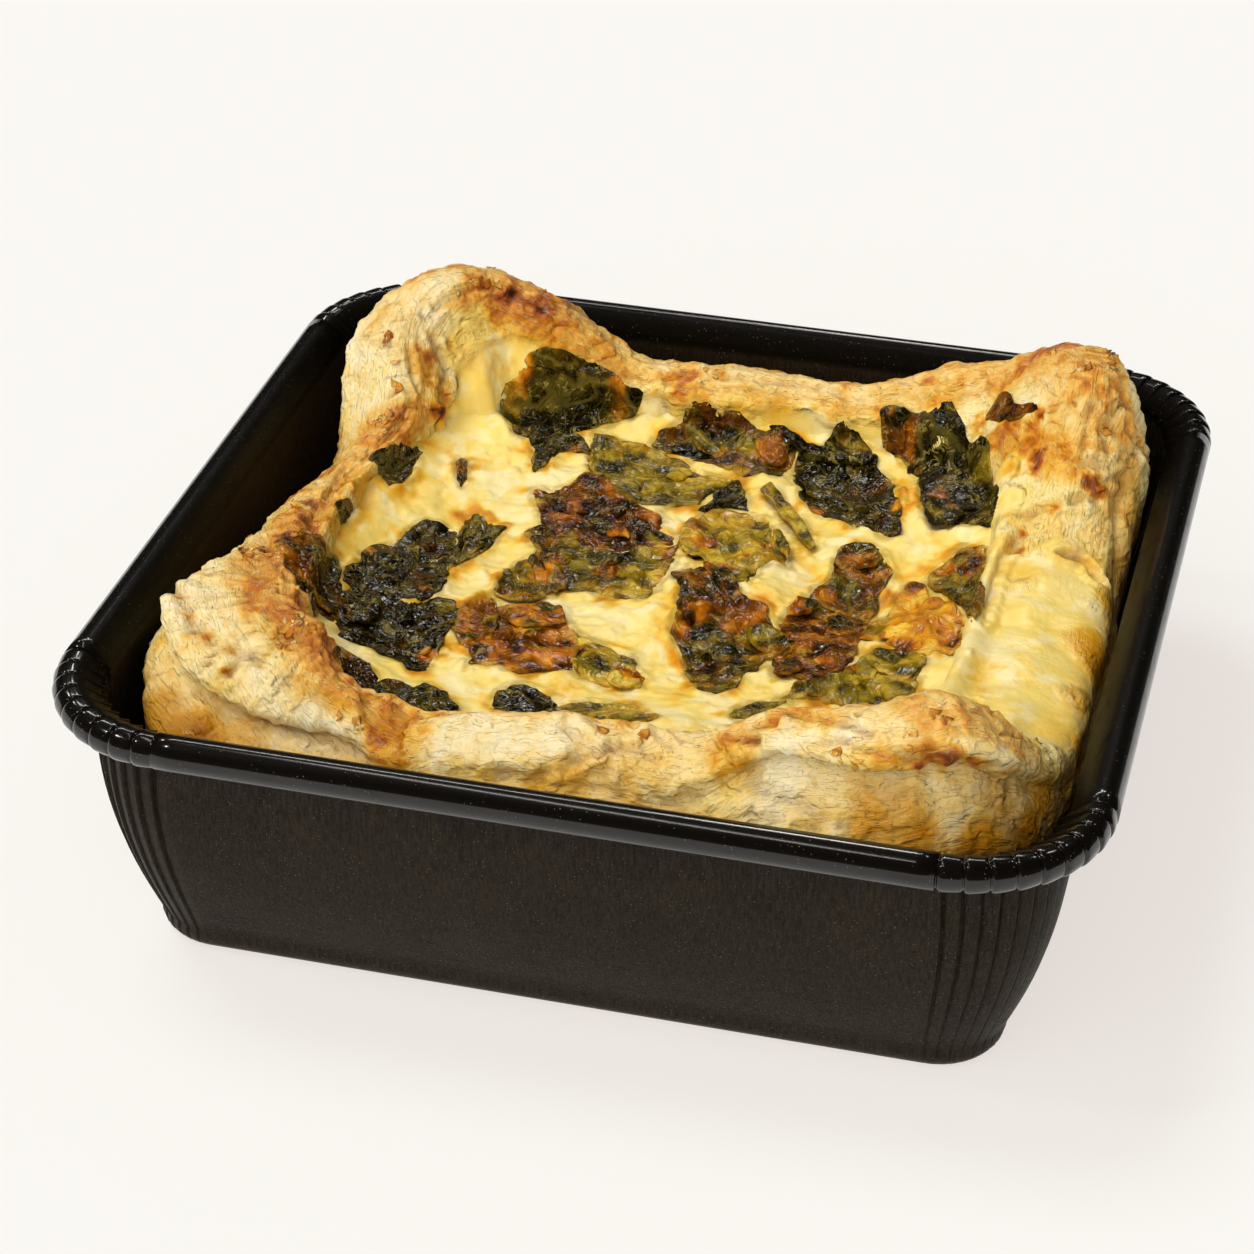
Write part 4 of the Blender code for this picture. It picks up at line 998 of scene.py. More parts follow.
# ---------------- spinach
# For each leaf: in hundredths how light its green is and how burnt it is, how many loose scraps
# lie on it, then the edges of the leaf and of the folds and smaller leaves on it. An edge is x and
# y seen from above, in half millimetres: first its middle, then its corners
LEAVES = {
    "back_left": (28, 10, 3,
        (-49, 96, -73, 92, -77, 90, -78, 86, -78, 84, -75, 80, -71, 75, -67, 75, -61, 78, -55, 81, -49, 85,
         -44, 88, -39, 93, -33, 97, -32, 98, -34, 99, -39, 99, -44, 102, -48, 102, -55, 101, -60, 100, -64,
         98, -70, 96, -73, 94),
        (-39, 97, -47, 97, -45, 96, -42, 96, -43, 94, -38, 93, -33, 97, -32, 98, -34, 99, -40, 99, -45,
         102, -49, 101),
        (-67, 95, -70, 94, -67, 94, -61, 94, -56, 96, -54, 100, -59, 100, -64, 98, -70, 96, -73, 94)),
    "back_left_tail": (25, 10, 0,
        (-58, 78, -64, 73, -62, 68, -62, 64, -59, 59, -56, 62, -56, 67, -54, 74, -49, 74, -44, 75, -45, 79,
         -49, 82, -55, 83, -62, 81, -67, 78)),
    "back_olive": (54, 10, 2,
        (-17, 58, -46, 79, -44, 71, -41, 61, -37, 58, -31, 52, -25, 47, -17, 47, -8, 51, -2, 55, -1, 61, 2,
         67, 6, 73, 0, 72, -7, 74, -13, 80, -20, 83, -26, 84, -33, 84, -40, 85, -45, 84),
        (-41, 72, -45, 77, -42, 66, -38, 62, -34, 64, -32, 73, -35, 82, -39, 85, -45, 84)),
    "burnt_middle": (30, 85, 3,
        (-29, 32, -54, 42, -51, 33, -48, 27, -44, 25, -39, 22, -33, 17, -26, 17, -20, 17, -14, 21, -9, 26,
         -4, 27, -4, 32, -12, 34, -11, 40, -14, 44, -21, 46, -28, 51, -33, 57, -38, 65, -42, 61, -45, 56,
         -48, 51, -52, 50, -57, 48),
        (-36, 54, -47, 45, -41, 38, -35, 37, -29, 40, -27, 48, -33, 57, -38, 65, -42, 61, -45, 56, -48,
         51)),
    "middle_left": (42, 30, 2,
        (-25, 8, -48, 15, -44, 12, -46, 4, -46, -2, -41, -11, -35, -15, -31, -11, -24, -8, -17, -9, -9,
         -12, -4, -10, -2, -1, -1, 4, -2, 15, -3, 27, -10, 25, -18, 18, -26, 17, -33, 18, -41, 26, -46, 26,
         -52, 22),
        (-46, -9, -45, -22, -38, -21, -34, -16, -39, -10, -43, 0, -46, 5, -49, 3, -51, -5, -51, -14, -51,
         -19),
        (-37, 3, -38, -2, -32, -15, -30, -6, -34, 5, -32, 12, -38, 15, -43, 9)),
    "back_middle": (32, 35, 2,
        (-3, 91, -20, 84, -14, 82, -7, 80, 2, 77, 8, 74, 15, 76, 19, 76, 22, 85, 22, 90, 20, 93, 14, 95, 9,
         96, 4, 98, -2, 98, -8, 98, -14, 98, -18, 97, -21, 95, -25, 91, -27, 85),
        (-9, 89, -15, 90, -10, 86, -3, 82, 0, 84, -4, 88, -9, 92, -14, 95, -19, 95),
        (14, 89, 9, 87, 14, 82, 19, 82, 20, 90, 18, 93, 12, 95, 8, 93)),
    "back_peak": (25, 20, 0,
        (37, 96, 35, 90, 40, 89, 47, 90, 48, 92, 44, 96, 40, 98, 37, 99, 35, 99, 34, 98, 32, 98, 31, 92)),
    "back_right_low": (20, 30, 2,
        (44, 67, 26, 74, 28, 68, 34, 60, 41, 55, 48, 50, 55, 50, 61, 48, 64, 49, 63, 56, 61, 67, 55, 82,
         50, 86, 48, 92, 40, 90, 32, 91, 27, 91, 22, 91, 22, 86, 22, 80),
        (42, 71, 30, 71, 37, 65, 46, 60, 53, 60, 49, 73, 40, 81, 32, 83, 26, 78),
        (30, 88, 18, 91, 24, 88, 31, 87, 37, 87, 44, 88, 49, 89, 47, 92, 41, 91, 33, 92, 28, 91, 23, 92,
         16, 96, 11, 96)),
    "back_right_side": (28, 25, 1,
        (59, 97, 48, 97, 50, 95, 55, 92, 59, 89, 64, 84, 65, 90, 66, 93, 66, 96, 63, 100, 57, 100, 51, 102,
         47, 101),
        (52, 97, 49, 96, 53, 95, 57, 94, 57, 96, 53, 98, 49, 97)),
    "back_right_leaf": (22, 15, 1,
        (80, 86, 63, 95, 64, 93, 64, 90, 64, 84, 67, 68, 71, 62, 75, 60, 81, 58, 85, 58, 92, 53, 94, 54,
         94, 61, 91, 72, 87, 82, 83, 90, 81, 89, 77, 93, 74, 98, 71, 101, 67, 101, 64, 100, 61, 100),
        (79, 81, 73, 83, 76, 72, 82, 67, 88, 66, 86, 75, 82, 82, 78, 90, 74, 91, 70, 91),
        (73, 62, 70, 58, 74, 53, 79, 56, 83, 62, 80, 70, 73, 72, 68, 69)),
    "knob_flake": (25, 70, 0,
        (94, 86, 88, 89, 92, 86, 97, 84, 101, 83, 100, 85, 95, 88, 92, 91, 88, 98, 85, 99, 85, 96, 83, 94)),
    "olive_middle": (68, 25, 1,
        (20, 29, 3, 17, 7, 17, 14, 9, 21, 1, 24, 5, 26, 16, 28, 23, 35, 21, 29, 34, 24, 45, 20, 53, 12, 56,
         5, 56, 1, 51, -1, 43, -4, 38, -3, 28),
        (8, 26, 3, 17, 7, 17, 14, 9, 22, 2, 15, 18, 8, 33, 3, 42, -1, 44, -4, 38, -3, 28),
        (30, 49, 23, 57, 27, 49, 34, 38, 39, 31, 40, 34, 35, 45, 30, 56, 23, 64, 21, 62),
        (21, 63, 17, 63, 22, 59, 26, 56, 27, 59, 22, 65, 17, 69, 15, 66),
        (30, 31, 27, 32, 30, 26, 34, 21, 34, 25, 31, 33, 27, 40, 25, 39)),
    "dark_triangle": (8, 0, 0,
        (3, 59, 1, 50, 3, 56, 9, 57, 14, 58, 10, 65, 7, 73, 3, 68, 0, 62, -2, 50)),
    "middle": (40, 55, 2,
        (18, -7, 5, -2, 5, -9, 8, -14, 6, -19, 12, -17, 18, -17, 26, -17, 31, -15, 36, -12, 32, -4, 26, -2,
         21, 1, 13, 11, 7, 15, 3, 9, 0, 4),
        (15, 7, 12, 6, 17, 0, 23, 0, 17, 12, 13, 12, 8, 14)),
    "front_middle": (42, 35, 2,
        (27, -27, 10, -29, 13, -35, 17, -45, 23, -55, 29, -59, 34, -53, 35, -44, 38, -43, 39, -35, 45, -34,
         46, -27, 41, -17, 37, -15, 34, -9, 27, -10, 20, -12, 12, -13, 7, -18, 7, -26),
        (21, -25, 17, -26, 21, -33, 29, -39, 31, -32, 26, -20, 19, -16, 14, -16),
        (37, -23, 31, -22, 36, -29, 43, -34, 45, -27, 41, -19, 34, -14, 29, -16)),
    "right_upper": (42, 45, 1,
        (55, 17, 48, 23, 47, 17, 44, 11, 42, 6, 45, 4, 51, 4, 56, 2, 61, 0, 65, 0, 65, 11, 65, 19, 66, 28,
         63, 34, 61, 38, 57, 40, 52, 40, 48, 35, 47, 28),
        (53, 33, 51, 27, 55, 28, 60, 32, 62, 36, 57, 40, 52, 40, 48, 35, 47, 28)),
    "red_brown": (42, 80, 2,
        (58, -26, 42, -17, 45, -26, 45, -32, 41, -36, 43, -44, 47, -43, 52, -46, 57, -45, 62, -42, 64, -34,
         65, -25, 65, -18, 65, 0, 61, 1, 52, 6, 45, 4, 41, 3, 39, -4, 38, -12),
        (56, -6, 53, -11, 58, -16, 62, -10, 61, -1, 54, 3, 50, -1),
        (45, -2, 41, -7, 45, -3, 49, 3, 46, 4, 41, 3, 39, -6),
        (45, -39, 44, -46, 49, -46, 52, -41, 50, -36, 45, -35, 42, -35, 42, -42)),
    "front_right": (64, 12, 3,
        (64, -42, 52, -54, 57, -54, 64, -54, 72, -55, 80, -56, 85, -56, 88, -53, 86, -42, 86, -33, 86, -22,
         81, -22, 76, -19, 70, -20, 67, -26, 65, -34, 62, -42, 56, -43, 50, -51, 47, -57),
        (80, -27, 70, -31, 74, -35, 81, -38, 85, -34, 86, -22, 82, -22, 76, -19, 70, -21, 67, -26),
        (82, -47, 78, -50, 84, -54, 88, -52, 86, -42, 80, -38, 75, -41)),
    "right_orange": (72, 75, 1,
        (82, 2, 69, -16, 74, -19, 80, -21, 86, -21, 88, -18, 91, -22, 96, -25, 97, -19, 94, -4, 89, 7, 83,
         15, 76, 23, 71, 23, 70, 16, 70, 8, 68, 1, 64, -7, 65, -18),
        (75, 16, 73, 12, 78, 9, 80, 15, 77, 23, 71, 23, 70, 16)),
    "right_edge": (48, 30, 0,
        (91, 18, 78, 23, 83, 19, 88, 12, 93, 1, 98, -12, 100, -4, 99, 2, 95, 19, 95, 30, 93, 41, 90, 41,
         85, 46, 83, 42, 82, 37, 79, 33, 77, 27),
        (91, 11, 81, 19, 87, 12, 93, 1, 98, -12, 100, -4, 99, 2, 94, 18, 91, 24, 89, 16, 85, 26, 81, 29,
         77, 27)),
    "left_lobed": (30, 5, 1,
        (-66, 10, -71, 8, -71, 2, -68, -10, -65, -4, -62, 3, -60, 10, -60, 19, -59, 26, -63, 24, -67, 30,
         -71, 31, -74, 26, -73, 18),
        (-67, 12, -69, 10, -67, 3, -64, 4, -62, 11, -65, 20, -68, 23, -71, 19)),
    "left_cluster": (12, 25, 3,
        (-79, -10, -95, -19, -97, -25, -96, -32, -92, -34, -86, -31, -81, -31, -74, -31, -69, -28, -66,
         -24, -67, -13, -69, -5, -70, 7, -73, 18, -78, 20, -83, 19, -86, 14, -88, 5, -92, -4, -95, -11),
        (-81, 9, -86, -1, -81, -5, -77, -3, -78, 9, -79, 18, -83, 19, -86, 14, -88, 5),
        (-87, -12, -94, -22, -89, -23, -84, -21, -83, -12, -88, -2, -92, -4, -95, -11)),
    "left_wall_low": (30, 45, 2,
        (-99, -39, -105, -56, -100, -59, -96, -61, -94, -55, -90, -56, -91, -45, -94, -37, -98, -26, -102,
         -20, -102, -27, -106, -24, -108, -28, -110, -36, -115, -40),
        (-100, -34, -105, -41, -99, -50, -99, -41, -96, -38, -97, -27, -101, -20, -102, -27, -105, -25,
         -108, -29)),
    "left_front": (15, 20, 3,
        (-74, -48, -95, -47, -91, -56, -86, -62, -80, -61, -72, -61, -64, -67, -58, -66, -56, -57, -58,
         -49, -57, -39, -57, -32, -61, -27, -67, -27, -74, -31, -83, -27, -91, -29, -95, -39),
        (-64, -48, -64, -60, -60, -56, -59, -49, -60, -38, -66, -33, -69, -42, -71, -51),
        (-84, -41, -87, -51, -81, -51, -79, -42, -83, -32, -90, -30, -92, -40)),
    "front_left_brown": (50, 65, 2,
        (-45, -39, -58, -32, -59, -40, -54, -49, -48, -54, -46, -64, -42, -62, -37, -61, -30, -63, -22,
         -59, -15, -56, -16, -46, -19, -36, -24, -28, -29, -22, -34, -18, -39, -23, -48, -23, -51, -18, -54,
         -22, -57, -29),
        (-48, -36, -53, -40, -47, -47, -44, -40, -45, -30, -51, -21, -55, -30),
        (-35, -29, -42, -34, -35, -40, -28, -36, -24, -30, -28, -22, -37, -24, -45, -25)),
    "front_teal": (78, 10, 0,
        (-14, -49, -20, -40, -19, -49, -15, -56, -10, -57, -5, -59, 1, -58, 6, -57, 6, -52, 3, -48, 0, -41,
         -4, -41, -10, -38, -14, -37, -19, -34, -21, -33),
        (0, -54, -4, -58, 1, -60, 5, -57, 5, -50, 0, -48, -5, -50)),
    "front_dark": (18, 20, 1,
        (-24, -74, -32, -83, -27, -85, -20, -83, -13, -83, -14, -74, -18, -70, -22, -68, -27, -67, -32,
         -67, -34, -72, -35, -78)),
    "front_olive": (66, 20, 1,
        (0, -76, -12, -83, -7, -87, -2, -85, 5, -84, 12, -81, 16, -79, 11, -71, 7, -68, 0, -70, -7, -71,
         -12, -72, -16, -74)),
    "flap_dark": (32, 15, 1,
        (-58, -82, -67, -93, -62, -95, -58, -91, -53, -92, -48, -95, -43, -91, -42, -86, -48, -79, -55,
         -77, -58, -79, -65, -76, -69, -80, -73, -85),
        (-51, -84, -53, -88, -48, -95, -43, -91, -42, -86, -48, -79, -55, -77, -57, -80)),
    "flap_brown": (22, 70, 0,
        (-79, -72, -79, -88, -78, -83, -73, -86, -66, -95, -69, -79, -75, -71, -81, -68, -86, -64)),
    "wall_leaf": (24, 20, 0,
        (-101, 37, -106, 28, -104, 30, -102, 29, -99, 27, -96, 31, -95, 38, -96, 46, -96, 53, -98, 56,
         -101, 46, -103, 37, -108, 35)),
    "wall_fleck": (22, 40, 0,
        (-106, 2, -106, -5, -105, -1, -104, 6, -105, 6, -107, 2, -108, -3)),
    "bank_fleck": (22, 60, 0,
        (-81, 51, -79, 42, -79, 50, -82, 58, -85, 59, -85, 54, -82, 46)),
    "ridge_sliver": (45, 0, 0,
        (44, -63, 38, -69, 41, -69, 44, -65, 48, -60, 51, -55, 47, -57, 41, -59, 38, -63, 35, -68)),
}
# Patches of the leaves: x, y, radius, then in hundredths how light and how burnt
PATCHES = (
    (16, 24, 1.5, 62, 0), (18, 19, 1.5, 50, 0), (20, 17, 1, 60, 0), (15, 16, 1.5, 42, 0),
    (-38, 44, 1.5, 60, 25), (-37, 39, 1.5, 55, 40), (-36, 46, 1.5, 80, 90), (-32, 48, 2, 50, 50),
    (-32, 43, 2.5, 4, 0), (-27, 44, 2, 10, 0), (-32, 46, 2, 35, 0), (-20, 48, 2, 62, 65),
    (-18, 49, 1, 20, 30), (-27, 49, 1.5, 20, 10), (-25, 47, 2, 28, 0), (-30, 36, 1.5, 10, 0),
    (-25, 38, 1, 55, 90), (-24, 40, 1, 50, 0), (-21, 40, 1.5, 22, 0), (-18, 35, 1.5, 18, 0),
    (-14, 40, 2, 72, 10), (-10, 38, 1, 22, 0), (-11, 30, 2, 60, 20), (-4, 33, 2.5, 85, 0),
    (0, 36, 1.5, 75, 0), (-8, 27, 1.5, 40, 0), (-26, 22, 1.5, 62, 10), (-15, 16, 2.5, 4, 30),
    (-9, 16, 2, 12, 60), (-21, 22, 2, 42, 100), (-8, 22, 1.5, 62, 100), (-5, 15, 1.5, 50, 10),
    (-20, 28, 1.5, 25, 80), (-19, 12, 1.5, 55, 20), (-20, 0, 1.5, 80, 100), (-20, 4, 1.5, 12, 70),
    (-15, 4, 1.5, 55, 10), (-10, 3, 1.5, 32, 90), (-6, 9, 2, 80, 10), (-2, 3, 1.5, 100, 20),
    (-5, -2, 2, 75, 20), (-24, -5, 1.5, 35, 0), (-23, 10, 1.5, 25, 50), (-6, 49, 1.5, 45, 50),
    (-4, 48, 2, 20, 70), (0, 49, 1.5, 35, 50), (-7, 43, 1.5, 4, 0), (-4, 45, 2, 60, 20),
    (0, 46, 1.5, 18, 0), (3, 44, 1.5, 70, 10), (7, 44, 2, 40, 100), (10, 42, 1.5, 35, 70),
    (2, 38, 1.5, 60, 20), (10, 46, 1, 10, 0), (18, 49, 1.5, 35, 40), (21, 47, 1.5, 50, 30),
    (15, 43, 2, 10, 0), (18, 40, 2, 8, 10), (23, 36, 1.5, 30, 80), (16, 35, 1.5, 45, 10),
    (26, 39, 1.5, 25, 90), (28, 41, 1, 80, 100), (28, 29, 1.5, 20, 80), (21, 30, 1.5, 20, 10),
    (17, 29, 1.5, 70, 80), (31, 32, 1.5, 80, 90), (26, 49, 1.5, 55, 50), (28, 49, 1.5, 15, 0),
    (26, 48, 1.5, 30, 50), (29, 47, 1.5, 45, 90), (33, 47, 2, 12, 0), (36, 48, 2, 30, 0),
    (38, 46, 1.5, 10, 0), (34, 45, 1.5, 15, 0), (39, 41, 2, 38, 0), (36, 36, 1.5, 50, 90),
    (37, 31, 1.5, 55, 10), (43, 40, 1.5, 50, 20), (45, 34, 1.5, 45, 10), (39, 34, 1, 40, 80),
    (44, 48, 1.5, 30, 90), (48, 43, 1.5, 30, 90), (0, 20, 1.5, 30, 90), (3, 15, 2, 40, 90),
    (5, 25, 2, 80, 30), (10, 21, 2, 60, 10), (10, 13, 2, 95, 50), (6, 15, 1.5, 50, 10), (15, 14, 1, 30, 20),
    (8, 6, 1, 40, 90), (2, 31, 2, 3, 0), (4, 0, 1.5, 50, 50), (8, 4, 1.5, 12, 10), (8, -3, 2, 30, 100),
    (13, -2, 1.5, 25, 90), (7, -7, 1.5, 55, 90), (15, -6, 1.5, 65, 100), (9, -10, 1.5, 10, 0),
    (12, -8, 1.5, 60, 100), (5, -11, 1.5, 65, 80), (12, -15, 2, 15, 0), (18, -11, 2, 50, 0),
    (11, -20, 1.5, 30, 80), (15, -19, 1.5, 10, 10), (9, -15, 1.5, 45, 10), (15, -26, 1.5, 50, 10),
    (17, -17, 1, 60, 30), (15, -10, 1.5, 55, 20), (27, 19, 1.5, 42, 20), (29, 14, 2, 40, 60),
    (27, 9, 1.5, 45, 10), (24, 5, 1.5, 65, 90), (32, 14, 1, 60, 100), (31, 4, 1.5, 40, 30),
    (23, 1, 1.5, 22, 0), (28, -3, 2, 6, 0), (23, -6, 1.5, 30, 90), (27, -16, 1, 60, 100),
    (29, -13, 2, 30, 100), (31, -7, 1.5, 55, 100), (24, -19, 1.5, 8, 0), (29, -22, 1.5, 35, 70),
    (32, -17, 1.5, 25, 80), (22, -12, 1, 15, 0), (28, -25, 2, 50, 20), (32, -23, 2, 48, 0),
    (37, -24, 2, 62, 0), (40, -23, 1.5, 68, 0), (38, -12, 2, 35, 20), (35, -16, 1.5, 55, 10),
    (41, -16, 1.5, 35, 10), (38, -20, 1.5, 65, 30), (24, -26, 1.5, 50, 30), (36, -11, 1, 25, 30),
    (37, 10, 1.5, 30, 90), (36, 7, 1.5, 60, 40), (41, 1, 2, 75, 50), (42, -6, 2, 68, 100),
    (45, -3, 1.5, 80, 90), (39, -9, 1.5, 40, 90), (34, -4, 1.5, 60, 10), (46, -8, 1, 40, 90),
    (35, 0, 1.5, 70, 20), (41, 16, 1.5, 60, 100), (44, 21, 1.5, 30, 80), (45, 15, 1.5, 30, 90),
    (40, 13, 1, 65, 0), (47, 6, 1.5, 50, 0), (44, 5, 1, 40, 10), (-34, 14, 1.5, 50, 10),
    (-33, 7, 1.5, 12, 0), (-36, 11, 1, 45, 10), (-44, -6, 2, 8, 10), (-42, 6, 1.5, 35, 20),
    (-39, 2, 1.5, 30, 90), (-37, 5, 1.5, 30, 10), (-41, -11, 2, 3, 0), (-46, -13, 1.5, 20, 0),
    (-47, -5, 1, 60, 100), (-38, -8, 1.5, 35, 60), (-35, -6, 1.5, 30, 20), (-43, 4, 1, 20, 10),
    (-54, -24, 1.5, 60, 100), (-53, -17, 1.5, 40, 50), (-50, -18, 1.5, 35, 10), (-51, -26, 1.5, 45, 80),
    (-50, -22, 1.5, 30, 70), (-48, -22, 1.5, 15, 20), (-50, -13, 1, 45, 10), (-44, -19, 2, 25, 0),
    (-39, -18, 2, 12, 10), (-33, -12, 1.5, 15, 10), (-36, -12, 1, 50, 100), (-40, -25, 2, 20, 0),
    (-33, -25, 2, 22, 30), (-31, -19, 1.5, 35, 10), (-30, -29, 1.5, 65, 90), (-35, -28, 1.5, 30, 60),
    (-31, -15, 1.5, 50, 0), (-44, -25, 1.5, 20, 10), (-26, -13, 1.5, 50, 80), (-23, -18, 1.5, 55, 30),
    (-17, -23, 2, 35, 100), (-22, -27, 1.5, 15, 40), (-18, -28, 1.5, 30, 90), (-13, -23, 2, 50, 100),
    (-12, -27, 1.5, 70, 100), (-16, -12, 1.5, 35, 10), (-19, -16, 1.5, 50, 50), (-11, -19, 1.5, 40, 70),
    (-29, -19, 1, 55, 20), (-17, -19, 1.5, 50, 30), (-25, -23, 1, 10, 10), (-5, -24, 2, 45, 0),
    (-5, -19, 1, 25, 0), (1, -26, 1.5, 60, 100), (-1, -25, 1, 25, 80), (0, -22, 1, 30, 10),
    (-8, -21, 1, 40, 60), (-13, -36, 2, 6, 0), (-16, -37, 1.5, 45, 10), (-10, -35, 1, 30, 70),
    (-11, -39, 1.5, 10, 0), (-3, -37, 2, 50, 10), (4, -36, 1.5, 80, 20), (-6, -39, 1, 25, 0),
    (-33, -42, 1.5, 25, 20), (-24, -43, 2, 38, 0), (-29, -40, 1, 30, 10), (-39, -39, 1.5, 25, 90),
    (-35, -41, 1, 15, 40), (-51, 21, 2, 22, 20), (-49, 26, 1, 15, 10), (-53, 1, 1, 25, 50),
    (-41, 26, 1, 25, 80), (22, -32, 1.5, 50, 0),
)


class Ground:
    """What lies under a place seen from above."""

    def __init__(self, pieces):
        graph = bpy.context.evaluated_depsgraph_get()
        self.trees = [BVHTree.FromObject(made, graph) for made in pieces]

    def height(self, x, y):
        """The highest surface at one place; 0, the table, where there is none."""
        best = 0.0
        start = Vector((x * MM, y * MM, 0.2))
        for tree in self.trees:
            spot = tree.ray_cast(start, Vector((0, 0, -1)))[0]
            if spot is not None:
                best = max(best, spot.z / MM)
        return best

    def heights(self, points):
        """The height at each of an array of places."""
        return np.array([self.height(x, y) for x, y in points.reshape(-1, 2)]).reshape(points.shape[:-1])


def leaf_edge(corners, draw, ragged):
    """The corners joined up, at even steps, a little torn."""
    closed = np.vstack([corners, corners[:1]])
    run = np.append(0, np.cumsum(np.hypot(*np.diff(closed, axis=0).T)))
    count = int(np.clip(run[-1] / 0.48, 40, 170))
    at = np.arange(count) * run[-1] / count
    edge = np.stack([np.interp(at, run, closed[:, 0]), np.interp(at, run, closed[:, 1])], -1)
    edge = (np.roll(edge, 1, 0) + 3 * edge + np.roll(edge, -1, 0)) / 5
    spread = np.concatenate([edge, np.zeros((count, 1))], -1) + draw.uniform(-400, 400, 3)
    for size, amount, seed in ((3.2, 0.55, 401), (1.2, 0.32, 405)):
        edge = edge + ragged * amount * swirl(spread, size, seed, seed + 1)
    return edge


def settled(base):
    """Heights of the ground evened out, as a limp leaf lies on it."""
    even = base.copy()
    for _ in range(2):
        even = (even + np.roll(even, 1, 1) + np.roll(even, -1, 1)) / 3
        even[1:-1] = (even[:-2] + even[1:-1] + even[2:]) / 3
    return np.maximum(even, base - 0.1)


def leaf_sheet(centre, edge, draw, ground, lift, curl):
    """One wilted leaf: top and underside points in rings, the place within the leaf, and how much shade is
    painted into its hollows.
    """
    arms = edge - centre
    rings = int(np.clip(np.hypot(*arms.T).mean() / 0.38, 7, 26))
    parts = np.linspace(0, 1, rings)
    parts[0] = 0.02
    flat = centre + parts[:, None, None] * arms
    base = ground.heights(flat)
    lowest = base + 0.12
    values, axes = np.linalg.eigh(np.cov(arms.T))
    long, wide = axes[:, 1], axes[:, 0]
    swing = draw.uniform(-0.5, 0.5)
    long, wide = long * np.cos(swing) + wide * np.sin(swing), wide * np.cos(swing) - long * np.sin(swing)
    along, aside = (flat - centre) @ long, (flat - centre) @ wide
    shift = draw.uniform(-400, 400, 3)
    spread = np.stack([along, aside, 0 * along], -1) + shift
    bent = spread + 1.1 * np.concatenate([swirl(spread, 5.0, 311, 312), 0 * along[..., None]], -1)
    folds = 1.3 * noise(bent, 6.5, 301) + 0.4 * noise(bent, 3.2, 304)
    wrinkles = 1 - 2.4 * abs(noise(bent, (6.5, 2.8, 1.0), 302))
    creases = 1 - 2.4 * abs(noise(bent, (2.9, 1.8, 1.0), 305))
    crumple = 0.60 * folds + 0.46 * wrinkles * smooth(noise(bent, 4.0, 306), -0.45, 0.10)
    crumple += 0.12 * creases
    crumple = np.maximum(crumple + 0.15, 0.25 * crumple - 0.05)
    # How deep in the crumple's hollows a point lies, used to paint shade into the leaf's tone.
    painted_hollow_shade = smooth(0.6 * wrinkles + 0.5 * creases + 0.4 * folds, 0.15, -0.65)
    rim = noise(np.concatenate([edge, 0 * edge[:, :1]], -1) + shift, 4.0, 308)
    part = parts[:, None]
    height = settled(base) + lift + crumple * (1 - 0.7 * part ** 6) + (curl + 0.7 * rim) * part ** 8
    height = np.maximum(height, lowest - 0.2 * part ** 8)
    top = np.concatenate([flat, height[..., None]], -1)
    under = top - np.array((0, 0, LEAF_THIN))
    scale = 1 / max(np.sqrt(values[1]) * 1.7, 1.0)
    return top, under, np.stack([along * scale, aside * scale, part + 0 * along, painted_hollow_shade], -1)


def joined(sheets):
    """Points, faces and places of closed sheets put together."""
    points, faces, places, total = [], [], [], 0
    for top, under, spot in sheets:
        rings = np.concatenate([under, top[::-1]], 0)
        spots = np.concatenate([spot, spot[::-1]], 0)
        points.append(np.vstack([rings.reshape(-1, 3), under[0].mean(0), top[0].mean(0)]))
        places.append(np.vstack([spots.reshape(-1, 4), np.zeros((2, 4))]))
        faces += [tuple(total + i for i in face) for face in grid_faces(2 * len(top), rings.shape[1])]
        total += len(points[-1])
    return np.vstack(points), faces, np.vstack(places)


def scrap_edge(main, draw):
    """The middle and the edge of a small loose scrap somewhere on a leaf."""
    middle = main.mean(0)
    corner = main[draw.integers(len(main))]
    spot = middle + (corner - middle) * draw.uniform(0.2, 0.62)
    size = 0.5 * np.sqrt(np.hypot(*(main - middle).T).mean()) * draw.uniform(0.9, 1.5)
    count = 9
    way = np.sort(draw.uniform(0, 2 * pi, count)) * 0.25 + np.arange(count) * 2 * pi / count * 0.75
    reach = size * draw.uniform(0.7, 1.4, count)
    tilt = draw.uniform(0, pi)
    oval = np.stack([np.cos(way) * reach * 1.35, np.sin(way) * reach * 0.8], -1)
    return spot, spot + oval @ np.array(((np.cos(tilt), np.sin(tilt)), (-np.sin(tilt), np.cos(tilt))))


